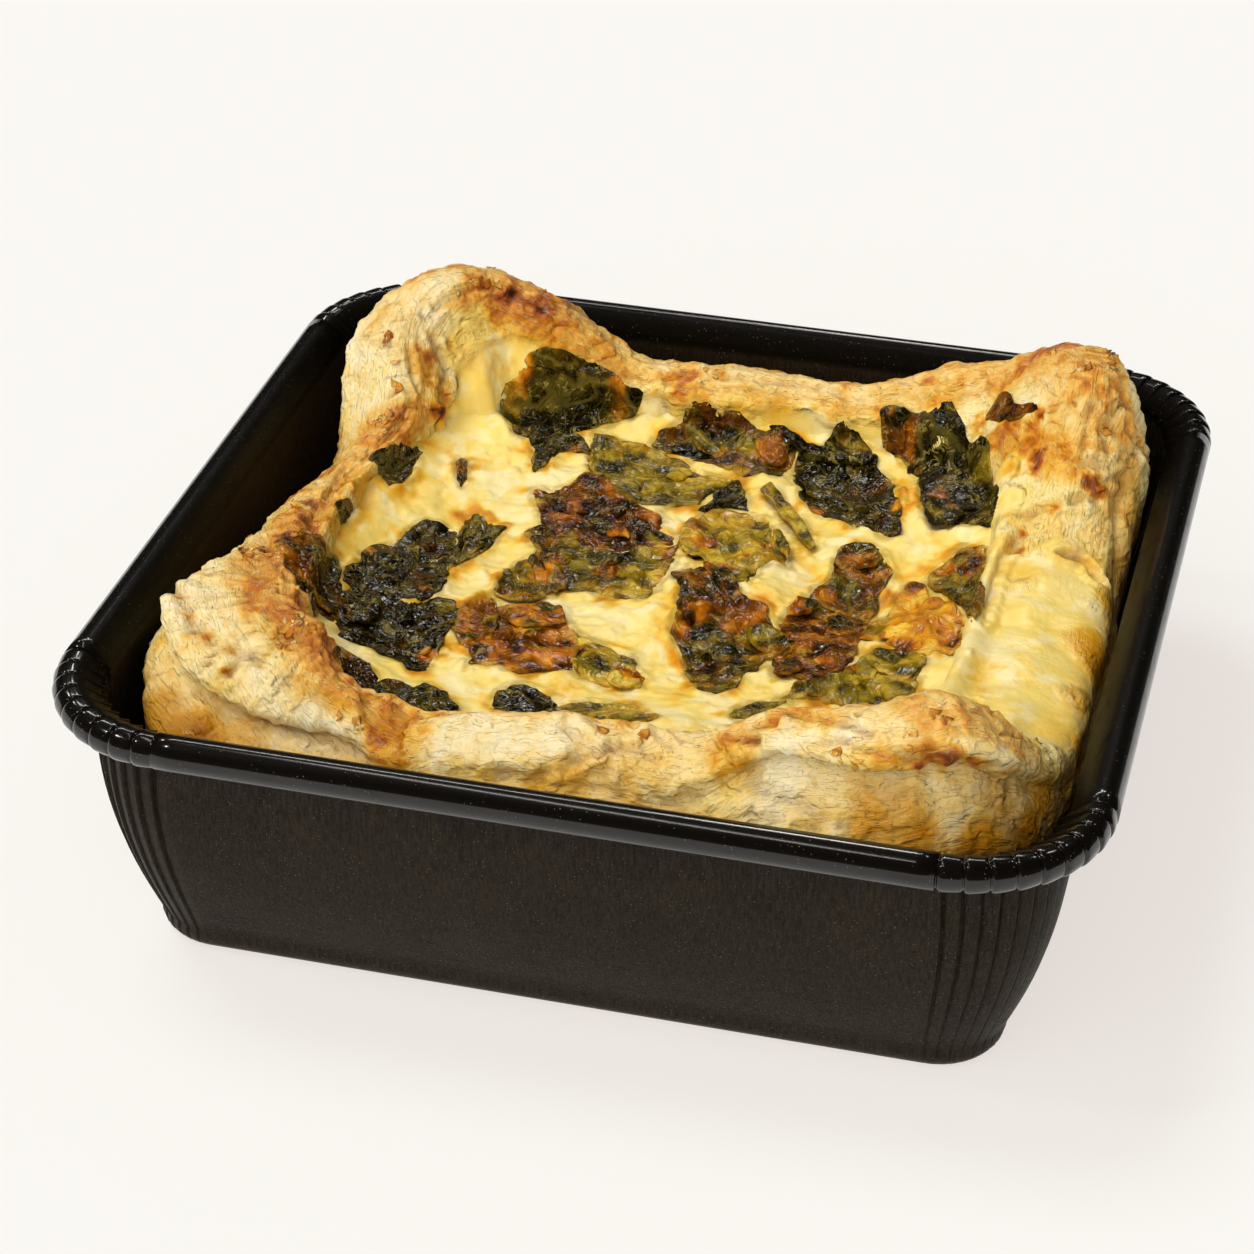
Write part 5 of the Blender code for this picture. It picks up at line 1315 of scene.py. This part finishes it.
def make_leaf(name, number, ground, finish):
    """One piece of spinach: its leaf, the smaller ones on it and loose scraps, each a closed sheet."""
    tone, burnt, scraps, *sheets = LEAVES[name]
    draw = np.random.default_rng(500 + number)
    outlines = [np.reshape(sheet, (-1, 2)) / 2 for sheet in sheets]
    sheets, shades = [], []
    for layer, (centre, *corners) in enumerate(outlines):
        shades.append(draw.uniform(-0.14, 0.14) * (layer > 0))
        edge = leaf_edge(np.array(corners), draw, 0.7 if layer else 1.0)
        if name == "olive_middle" and layer > 1:
            edge = leaf_edge(np.array(corners), draw, 0.3)
        curl = -0.15 if layer else -0.25
        sheets.append(leaf_sheet(centre, edge, draw, ground, 0.25 + 0.38 * layer, curl))
    for scrap in range(scraps):
        spot, around = scrap_edge(outlines[0][1:], draw)
        shades.append(draw.choice((-0.30, -0.18, 0.22)))
        edge = leaf_edge(around, draw, 0.8)
        sheets.append(leaf_sheet(spot, edge, draw, ground, 0.65 + 0.15 * scrap, -0.35))
    points, faces, places = joined(sheets)
    sizes = [2 * top[..., 0].size + 2 for top, _, _ in sheets]
    light = tone / 100 + 0.22 * rough(points, 5.0, 2, 421 + number) + 0.10 * rough(points, 1.6, 2, 431)
    light += np.repeat(shades, sizes)
    char = burnt / 100 + 0.35 * rough(points, 5.5, 3, 441)
    for x, y, radius, patch_tone, patch_burnt in PATCHES:
        away = np.hypot(points[:, 0] - x, points[:, 1] - y)
        close = away < 3 * radius
        bent = away[close] * (1 + 0.45 * rough(points[close], 2.6, 2, 451))
        share = 0.85 * np.exp(-(bent / (1.25 * radius)) ** 4)
        light[close] += (patch_tone / 100 - light[close]) * share
        char[close] += (patch_burnt / 100 - char[close]) * share
    # Painted shade: the leaf's tone is darkened in the hollows of its crumple.
    light = np.clip(light, 0, 1) * (1 - 0.5 * places[:, 3])
    return piece("leaf_" + name, points, faces, finish, tone=light, burnt=np.clip(char, 0, 1),
                 within=places[:, :3])


# ---------------- flakes and crumbs
class Recipe:
    """Geometry nodes written in order, with named sizes."""

    def __init__(self, name, **sizes):
        self.tree = bpy.data.node_groups.new(name, "GeometryNodeTree")
        self.sizes = sizes
        sockets = self.tree.interface
        sockets.new_socket("Geometry", in_out="OUTPUT", socket_type="NodeSocketGeometry")
        sockets.new_socket("Geometry", in_out="INPUT", socket_type="NodeSocketGeometry")
        kinds = {float: "NodeSocketFloat", int: "NodeSocketInt"}
        self.keys = {}
        for key, value in sizes.items():
            kind = kinds.get(type(value), "NodeSocketObject")
            self.keys[key] = sockets.new_socket(key, in_out="INPUT", socket_type=kind).identifier
        self.given = self.tree.nodes.new("NodeGroupInput").outputs

    def node(self, kind, settings, out=0, **named):
        """A node: its settings are set first, then its sockets, by name or as input_ and a number."""
        made = self.tree.nodes.new(kind)
        for key, value in settings.items():
            setattr(made, key, value)
        for key, value in named.items():
            socket = made.inputs[int(key[6:]) if key.startswith("input_") else key.replace("_", " ")]
            if isinstance(value, bpy.types.NodeSocket):
                self.tree.links.new(value, socket)
            else:
                socket.default_value = value
        return made.outputs[out]

    def random(self, low, high, seed, turned=False):
        """Random numbers between low and high, or turns where low and high are vectors."""
        first = 0 if turned else 2
        settings = {"data_type": "FLOAT_VECTOR" if turned else "FLOAT"}
        named = {"input_%d" % first: low, "input_%d" % (first + 1): high, "Seed": seed}
        return self.node("FunctionNodeRandomValue", settings, out=first // 2, **named)

    def grow(self, base, name, geometry):
        """A plain mesh object of what the recipe makes on the base; the base is removed."""
        self.tree.links.new(geometry, self.tree.nodes.new("NodeGroupOutput").inputs[0])
        modifier = base.modifiers.new("recipe", "NODES")
        modifier.node_group = self.tree
        for key, value in self.sizes.items():
            modifier[self.keys[key]] = value
        bpy.context.view_layer.update()
        graph = bpy.context.evaluated_depsgraph_get()
        mesh = bpy.data.meshes.new_from_object(base.evaluated_get(graph), depsgraph=graph)
        mesh.name = name
        mesh.shade_smooth()
        base.modifiers.remove(modifier)
        bpy.data.objects.remove(base)
        return stand(name, mesh)


def chip_mesh(name, sides, bulge, curl, draw):
    """One curled chip about 2 across: three rings of corners and its two middles, closed."""
    way = (np.arange(sides) + draw.uniform(-0.3, 0.3, sides)) * 2 * pi / sides
    reach = draw.uniform(0.65, 1.2, sides)
    points = []
    for part, lift in ((0.5, -bulge), (1.0, 0.0), (0.5, bulge)):
        x, y = 1.25 * part * reach * np.cos(way), 0.8 * part * reach * np.sin(way)
        points += np.stack([x, y, lift + curl * x * x - 0.5 * curl * y], -1).tolist()
    mesh = bpy.data.meshes.new(name)
    mesh.from_pydata(points + [(0, 0, -bulge), (0, 0, bulge)], [], grid_faces(3, sides))
    return stand(name, mesh)


def scattered(name, ground, share, chip, finish, density, smallest, largest, lean, seed):
    """Chips scattered on a copy of the ground, as thickly as its points' share says."""
    base = stand(ground.name + "_ground", ground.data.copy())
    give(base.data, share=share)
    recipe = Recipe(name, Chip=chip, Density=density, Smallest=smallest * MM, Largest=largest * MM,
                    Lean=lean, Seed=seed)
    node, given = recipe.node, recipe.given
    carried = node("GeometryNodeInputNamedAttribute", {"data_type": "FLOAT"}, Name="share")
    thick = node("ShaderNodeMath", {"operation": "MULTIPLY"}, input_0=carried, input_1=given["Density"])
    scatter = node("GeometryNodeDistributePointsOnFaces", {}, Mesh=given["Geometry"], Density=thick,
                   Seed=given["Seed"])
    back = node("ShaderNodeMath", {"operation": "MULTIPLY"}, input_0=given["Lean"], input_1=-1.0)
    low = node("ShaderNodeCombineXYZ", {}, X=back, Y=back, Z=-pi)
    high = node("ShaderNodeCombineXYZ", {}, X=given["Lean"], Y=given["Lean"], Z=pi)
    turns = recipe.random(low, high, given["Seed"], turned=True)
    turn = node("FunctionNodeEulerToRotation", {}, Euler=turns)
    turned = node("FunctionNodeRotateRotation", {"rotation_space": "LOCAL"},
                  Rotation=scatter.node.outputs["Rotation"], Rotate_By=turn)
    scale = recipe.random(given["Smallest"], given["Largest"], given["Seed"])
    shape = node("GeometryNodeObjectInfo", {}, out="Geometry", Object=given["Chip"], As_Instance=True)
    chips = node("GeometryNodeInstanceOnPoints", {}, Points=scatter, Instance=shape, Rotation=turned,
                 Scale=scale)
    chips = node("GeometryNodeStoreNamedAttribute", {"data_type": "FLOAT", "domain": "INSTANCE"},
                 Geometry=chips, Name="bake", Value=recipe.random(0.18, 0.50, given["Seed"]))
    plain = node("GeometryNodeRealizeInstances", {}, Geometry=chips)
    made = recipe.grow(base, name, node("GeometryNodeSetMaterial", {}, Geometry=plain, Material=finish))
    bpy.data.objects.remove(chip)
    return made


def make_flakes(case, finish):
    """Loose flakes along the crust's torn edges."""
    x, y, across = read(case, "drift", "vector").T / MM
    place = np.arctan2(y, x) / (2 * pi) * LOOP
    share = sum(amount * near_place(place, middle, spread) * bell(across, height, 3.2)
                for middle, spread, height, amount in FLAKY)
    share *= smooth(rough(read(case, "position", "vector") / MM, 6.0, 2, 601), 0.05, 0.45)
    chip = chip_mesh("flake", 8, 0.07, 0.35, np.random.default_rng(71))
    return scattered("pastry_flakes", case, share, chip, finish, 8.0e5, 0.35, 1.0, 0.35, 7)


def make_crumbs(tray, finish):
    """Crumbs inside the tray's back right corner."""
    x, y, z = read(tray, "position", "vector").T / MM
    share = read(tray, "inside", "value", 1)[:, 0] * smooth(z, 24, 29) * smooth(z, 42, 39)
    share *= smooth(x, 55, 66) * smooth(y, 16, 24) * smooth(y, 50, 42)
    chip = chip_mesh("crumb", 6, 0.5, 0.1, np.random.default_rng(72))
    return scattered("pastry_crumbs", tray, share, chip, finish, 0.5e5, 0.18, 0.4, 0.9, 8)


# ---------------- finishes
def board_finish():
    """Black laminated board: dull walls with a fine upright grain and specks, and a glossy rim."""
    board = Finish("black_laminated_board")
    height = board.node("SeparateXYZ", {}, board.place, out="Z")
    rim = board.attribute("rim")
    grain = board.noise((0.35, 0.35, 2.6), 3.0, 0.7)
    weave = board.noise(0.4, 3.0, 0.7)
    cloud = board.noise(16.0, 3.0, 0.6)
    specks = board.cells(0.7).span(0.17, 0.08) * board.noise(3.0, 2.0).span(0.42, 0.62)
    fleck = (grain - 0.5) * 2.2 + (weave - 0.5) * 1.6 + cloud * 0.5 + 0.2
    colour = board.mix(fleck.clamp(), from_screen(22, 17, 12), from_screen(50, 43, 34))
    colour = board.mix(height.span(39.9 * MM, 41.2 * MM), colour, from_screen(13, 10, 7))
    colour = board.mix(specks.clamp(), colour, from_screen(112, 98, 76))
    scuff = board.noise((7.0, 7.0, 1.2), 4.0, 0.7).span(0.5, 0.8)
    relief = board.relief((grain * (1 - rim), 0.10), (weave * (1 - rim * 0.8), 0.08), (specks, 0.08))
    return board.finish(Base_Color=colour, Roughness=0.42 + 0.2 * scuff, Normal=relief,
                        Specular_IOR_Level=0.07, Coat_Weight=rim * (1 - 0.35 * scuff), Coat_Roughness=0.12,
                        Coat_IOR=1.5)


def crust_colours(food, bake, custardy, patch):
    """Baked dough and baked custard, from raw to burnt, the custard milky in patches."""
    dough = food.ramp(
        bake, (0.0, 254, 240, 204), (0.15, 249, 222, 154), (0.3, 241, 193, 96), (0.42, 228, 158, 52),
        (0.55, 200, 116, 24), (0.7, 156, 74, 12), (0.85, 104, 44, 10), (1.0, 52, 22, 6))
    egg = food.ramp(
        bake, (0.0, 254, 233, 150), (0.15, 251, 219, 108), (0.3, 240, 186, 50), (0.42, 224, 150, 16),
        (0.55, 198, 112, 6), (0.7, 152, 72, 6), (0.85, 98, 42, 6), (1.0, 50, 24, 6))
    milky = patch.span(0.52, 0.36) * bake.span(0.34, 0.12)
    egg = food.mix((milky * 0.7).clamp(), egg, from_screen(253, 239, 186))
    return food.mix(custardy, dough, egg)


def curd_relief(food, share):
    """The custard's soft swells, as high as its share."""
    return food.relief((food.noise(8.0, 3.0, 0.5, 0.8) * share, 0.35),
                       (food.noise(2.6, 4.0, 0.55) * share, 0.12),
                       (food.noise(0.8, 3.0, 0.6) * share, 0.05))


def pastry_finish():
    """Puff pastry: pale layers, brown lips, crinkled skin, scorched edges, and a greasy sheen low down
    whose darker colour is partly painted shade.
    """
    dough = Finish("baked_puff_pastry")
    bake, dark, amber, custardy = (dough.attribute(name) for name in ("bake", "dark", "amber", "custardy"))
    drift = dough.attribute("drift", "Vector")
    crisp = custardy.span(0.97, 0.78)
    swirled = dough.bent(5.0, 1.4)
    mottle = dough.noise(2.2, 5.0, 0.62)
    patch = dough.noise(7.5, 4.0, 0.6, 0.6)
    layer = dough.noise((11.0, 11.0, 0.75), 4.0, 0.6, spot=drift)
    ridge = dough.creased((5.5, 5.5, 3.0), 2.0, 0.0, swirled, 0.13, 0.0)
    wrinkle_with_painted_highlight = dough.creased(2.4, 2.0, 0.0, swirled, 0.16, 0.0)
    flaky = dough.noise((9.0, 9.0, 2.2), 3.0, 0.5, spot=dough.bent(6.0, 1.0, spot=drift))
    sheets = flaky.span(0.42, 0.432) + flaky.span(0.50, 0.512) + flaky.span(0.58, 0.592)
    edges = flaky.span(0.405, 0.42) * flaky.span(0.44, 0.42)
    edges = edges + flaky.span(0.485, 0.50) * flaky.span(0.52, 0.50)
    browned = bake + ((mottle - 0.5) * 0.20 + (patch - 0.5) * 0.22) * (1 - custardy * 0.45)
    # Painted highlight: the wrinkle lines are made paler, as if lit on their ridges.
    lines = (layer - 0.5) * 0.14 + ridge * bake.span(0.22, 0.45) * 0.16 - wrinkle_with_painted_highlight * 0.06
    browned = browned + lines * crisp
    colour = crust_colours(dough, browned.clamp(), custardy, patch)
    pale = ((layer.span(0.60, 0.8) * 0.22 + edges * 0.22) * crisp).clamp()
    colour = dough.mix(pale, colour, from_screen(254, 238, 188))
    # Darker amber low down: grease and painted shade in one colour.
    grease_and_shade_colour = dough.mix(bake.span(0.30, 0.55), from_screen(202, 134, 10), from_screen(122, 66, 4))
    colour = dough.mix((amber * 0.85).clamp(), colour, grease_and_shade_colour)
    colour = dough.mix((dark * 1.1).clamp(), colour, from_screen(128, 60, 12))
    relief = dough.relief(
        (layer * crisp, 0.36), (ridge * crisp, 0.26), (sheets * crisp / 3, 0.55), (wrinkle_with_painted_highlight * crisp, 0.07),
        (mottle * crisp, 0.30), (dough.noise(0.7, 4.0, 0.6), 0.06), under=curd_relief(dough, custardy))
    sheen = dough.noise(5.0, 3.0, 0.6)
    roughness = 0.36 + 0.18 * mottle - 0.20 * amber - 0.14 * custardy + 0.14 * (sheen - 0.5)
    return dough.finish(Base_Color=colour, Roughness=roughness.clamp(), Normal=relief,
                        Subsurface_Weight=0.15, Subsurface_Radius=(1.0, 0.5, 0.2), Subsurface_Scale=0.0015)


def custard_finish():
    """Baked custard: pale yellow curd with browned patches and a moist skin."""
    egg = Finish("baked_egg_custard")
    bake = egg.attribute("bake")
    mottle = egg.noise(2.6, 5.0, 0.6)
    patch = egg.noise(7.5, 4.0, 0.6, 0.6)
    browned = bake + (mottle - 0.5) * 0.16 + (patch - 0.5) * 0.22
    colour = crust_colours(egg, browned.clamp(), 1.0, patch)
    tint = egg.attribute("green").span(0.2, 0.9) * mottle.span(0.30, 0.62)
    colour = egg.mix((tint * 0.6).clamp(), colour, from_screen(150, 118, 14))
    return egg.finish(Base_Color=colour, Roughness=0.26 + 0.22 * mottle, Normal=curd_relief(egg, 1.0),
                      Specular_IOR_Level=0.3, Subsurface_Weight=0.15, Subsurface_Radius=(1.0, 0.6, 0.2),
                      Subsurface_Scale=0.0015)


def leaf_finish():
    """Wilted spinach: dark to olive green, paler veins, burnt patches, an oily gloss, and pale curved lines
    painted in as glints on its crinkles.
    """
    leaf = Finish("wilted_spinach_leaf")
    tone, burnt = leaf.attribute("tone"), leaf.attribute("burnt")
    within = leaf.attribute("within", "Vector")
    parts, aside, edge = (leaf.node("SeparateXYZ", {}, within, out=way) for way in "XYZ")
    wander = leaf.noise(3.0, 2.0, 0.5)
    centre = (aside + (wander - 0.5) * 0.35).absolute()
    branch = ((parts * 9.0 - centre * 7.0) + wander * 4.0).sine()
    branches = branch.absolute().span(0.16, 0.02) * centre.span(1.0, 0.6)
    swirled = leaf.bent(2.6, 0.9)
    blister = leaf.cells(3.4, "SMOOTH_F1", swirled)
    pinch = leaf.creased(3.4, 1.0, 1.0, swirled, 0.10, 0.0)
    net = leaf.cells(2.4, "DISTANCE_TO_EDGE", swirled).span(0.09, 0.0)
    vein = centre.span(0.08, 0.02).most(branches * 0.7).most(net * 0.25)
    mottle = leaf.noise(2.6, 3.0, 0.5, 0.6)
    patch = leaf.noise(5.0, 2.0, 0.5)
    shade = (tone + (mottle - 0.5) * 0.75 + (patch - 0.5) * 0.65).clamp()
    green = leaf.ramp(
        shade, (0.0, 6, 5, 1), (0.22, 24, 19, 2), (0.42, 66, 54, 4),
        (0.62, 132, 109, 12), (0.82, 192, 160, 32), (1.0, 236, 208, 84))
    brown = leaf.ramp(
        shade, (0.0, 10, 5, 1), (0.22, 50, 23, 2), (0.42, 114, 57, 3),
        (0.62, 186, 105, 5), (0.82, 230, 154, 14), (1.0, 250, 202, 62))
    green = leaf.mix((vein * (0.10 + 0.36 * tone)).clamp(), green, from_screen(176, 156, 60))
    colour = leaf.mix((burnt * 1.2 + (patch - 0.5) * 0.7).span(0.25, 0.8), green, brown)
    soaked = leaf.noise(6.0, 3.0, 0.6, 0.5)
    film = (edge.span(0.60, 1.0) * 0.55 + (soaked - 0.5) * 2.4 + (tone - 0.4) * 1.1).span(0.42, 0.95)
    curd = leaf.mix(mottle.span(0.4, 0.65), from_screen(184, 124, 16), from_screen(232, 196, 88))
    colour = leaf.mix((film * 0.5).clamp(), colour, curd)
    # Painted highlight: thin pale curved lines mixed into the colour as glints on the wet crinkles; they
    # also raise a slight bump.
    painted_glint_lines = leaf.creased(1.7, 1.0, 1.0, swirled, 0.055, 0.015) * leaf.noise(2.6, 2.0, 0.5).span(0.50, 0.62)
    colour = leaf.mix((painted_glint_lines * 0.35).clamp(), colour, from_screen(206, 184, 96))
    fine = leaf.noise(0.7, 2.0, 0.5, spot=swirled)
    relief = leaf.relief((1 - blister * blister, 0.50), (pinch, 0.16), (fine, 0.07), (vein, 0.07),
                         (painted_glint_lines, 0.06))
    return leaf.finish(Base_Color=colour, Roughness=0.06 + 0.12 * patch.span(0.35, 0.7), Normal=relief,
                       Specular_IOR_Level=0.45)


def floor_finish():
    """Pale paper that stays light in the shadow."""
    paper = Finish("pale_paper")
    colour = paper.mix(paper.noise(60.0, 3.0, 0.5), (0.24, 0.30, 0.32), (0.245, 0.305, 0.325))
    return paper.finish(Base_Color=colour, Roughness=0.9, Specular_IOR_Level=0.0,
                        Emission_Color=(0.715, 0.645, 0.605), Emission_Strength=1.0)


# ---------------- stage
CAMERA_AZIMUTH = 13.84
CAMERA_ELEVATION = 31.254
CAMERA_ROLL = 0.875
CAMERA_DISTANCE = 0.58116
CAMERA_RIGHT = -0.00574
CAMERA_UP = 0.02393
LENS = 103.83
FLOOR_SIDE = 30.0
SUN_COLOUR = (1.0, 0.96, 0.88)
# Sun lamps: name, strength, width in degrees, direction they shine from; the narrow ones also
# show as glints, and the glints light nothing
SUNS = (
    ("window", 1.3, 24, (-0.42, 0.16, 0.89)),
    ("room", 1.9, 75, (-0.14, -0.78, 0.50)),
    ("lamp", 0.35, 6, (-0.50, -0.22, 0.80)),
    ("glint_back_left", 0.12, 5, (-0.62, 0.42, 0.66)),
    ("glint_back", 0.12, 5, (-0.15, 0.72, 0.68)),
    ("glint_back_right", 0.09, 5, (0.35, 0.55, 0.76)),
)
# Strip lights that only show as reflections: name, place, length, width, power
STRIPS = (
    ("strip_back", (-0.25, 0.75, 1.0), 0.9, 0.05, 2.6),
    ("strip_top", (-0.25, -0.1, 1.25), 0.9, 0.04, 1.2),
)
STRIP_COLOUR = (1.0, 0.97, 0.92)
SKY_COLOUR = (1.0, 0.94, 0.84, 1.0)
SKY_STRENGTH = 0.24


def set_camera():
    """The photograph's view."""
    turn, rise, roll = (radians(v) for v in (CAMERA_AZIMUTH, CAMERA_ELEVATION, CAMERA_ROLL))
    back = np.array((np.sin(turn) * np.cos(rise), -np.cos(turn) * np.cos(rise), np.sin(rise)))
    right = np.array((np.cos(turn), np.sin(turn), 0.0))
    up = np.cross(back, right)
    across = right * np.cos(roll) + up * np.sin(roll)
    upward = up * np.cos(roll) - right * np.sin(roll)
    spot = back * CAMERA_DISTANCE + across * CAMERA_RIGHT + upward * CAMERA_UP
    lens = bpy.data.cameras.new("camera")
    lens.sensor_width = 36.0
    lens.lens = LENS
    lens.clip_start = 0.01
    made = stand("camera", lens)
    rows = [[*column] for column in zip(across, upward, back, spot)]
    made.matrix_world = Matrix([*rows, [0, 0, 0, 1]])
    bpy.context.scene.camera = made


def make_floor():
    """The pale floor, just under the tray."""
    mesh = bpy.data.meshes.new("floor")
    corners = ((-1, -1), (1, -1), (1, 1), (-1, 1))
    mesh.from_pydata([(x * FLOOR_SIDE, y * FLOOR_SIDE, -0.0002) for x, y in corners], [], [(0, 1, 2, 3)])
    mesh.materials.append(floor_finish())
    made = stand("floor", mesh)


def lamp(name, kind, energy, colour, way, spot=(0, 0, 0)):
    """A light at a spot that shines from the way it is turned to."""
    light = bpy.data.lights.new(name, kind)
    light.energy = energy
    light.color = colour
    made = stand(name, light)
    made.location = spot
    made.rotation_mode = "QUATERNION"
    made.rotation_quaternion = Vector(way).to_track_quat("Z", "Y")
    return made


def light_stage():
    """Soft studio light."""
    world = bpy.data.worlds.new("studio")
    world.use_nodes = True
    sky = world.node_tree.nodes["Background"]
    sky.inputs[0].default_value = SKY_COLOUR
    sky.inputs[1].default_value = SKY_STRENGTH
    bpy.context.scene.world = world
    world.cycles_visibility.glossy = False
    for name, energy, spread, way in SUNS:
        made = lamp(name, "SUN", energy, SUN_COLOUR, way)
        made.data.angle = radians(spread)
        made.visible_glossy = spread < 10
        made.visible_diffuse = not name.startswith("glint")
    for name, spot, length, width, power in STRIPS:
        made = lamp(name, "AREA", power, STRIP_COLOUR, spot, spot)
        made.data.shape = "RECTANGLE"
        made.data.size, made.data.size_y = length, width
        made.visible_diffuse = False
    bpy.context.scene.view_settings.view_transform = "Standard"


def main():
    """Builds the stage, then each piece on what lies under it."""
    set_camera()
    make_floor()
    light_stage()
    tray = wear(make_tray(board_finish()), "tray")
    dough = pastry_finish()
    case = wear(make_case(dough), "pastry_case")
    custard = wear(make_custard(custard_finish()), "custard")
    wear(make_flakes(case, dough), "pastry_case")
    wear(make_crumbs(tray, dough), "pastry_case")
    bpy.context.view_layer.update()
    ground = Ground((case, custard))
    green = leaf_finish()
    for number, name in enumerate(LEAVES):
        wear(make_leaf(name, number, ground, green), "spinach_" + name)


main()
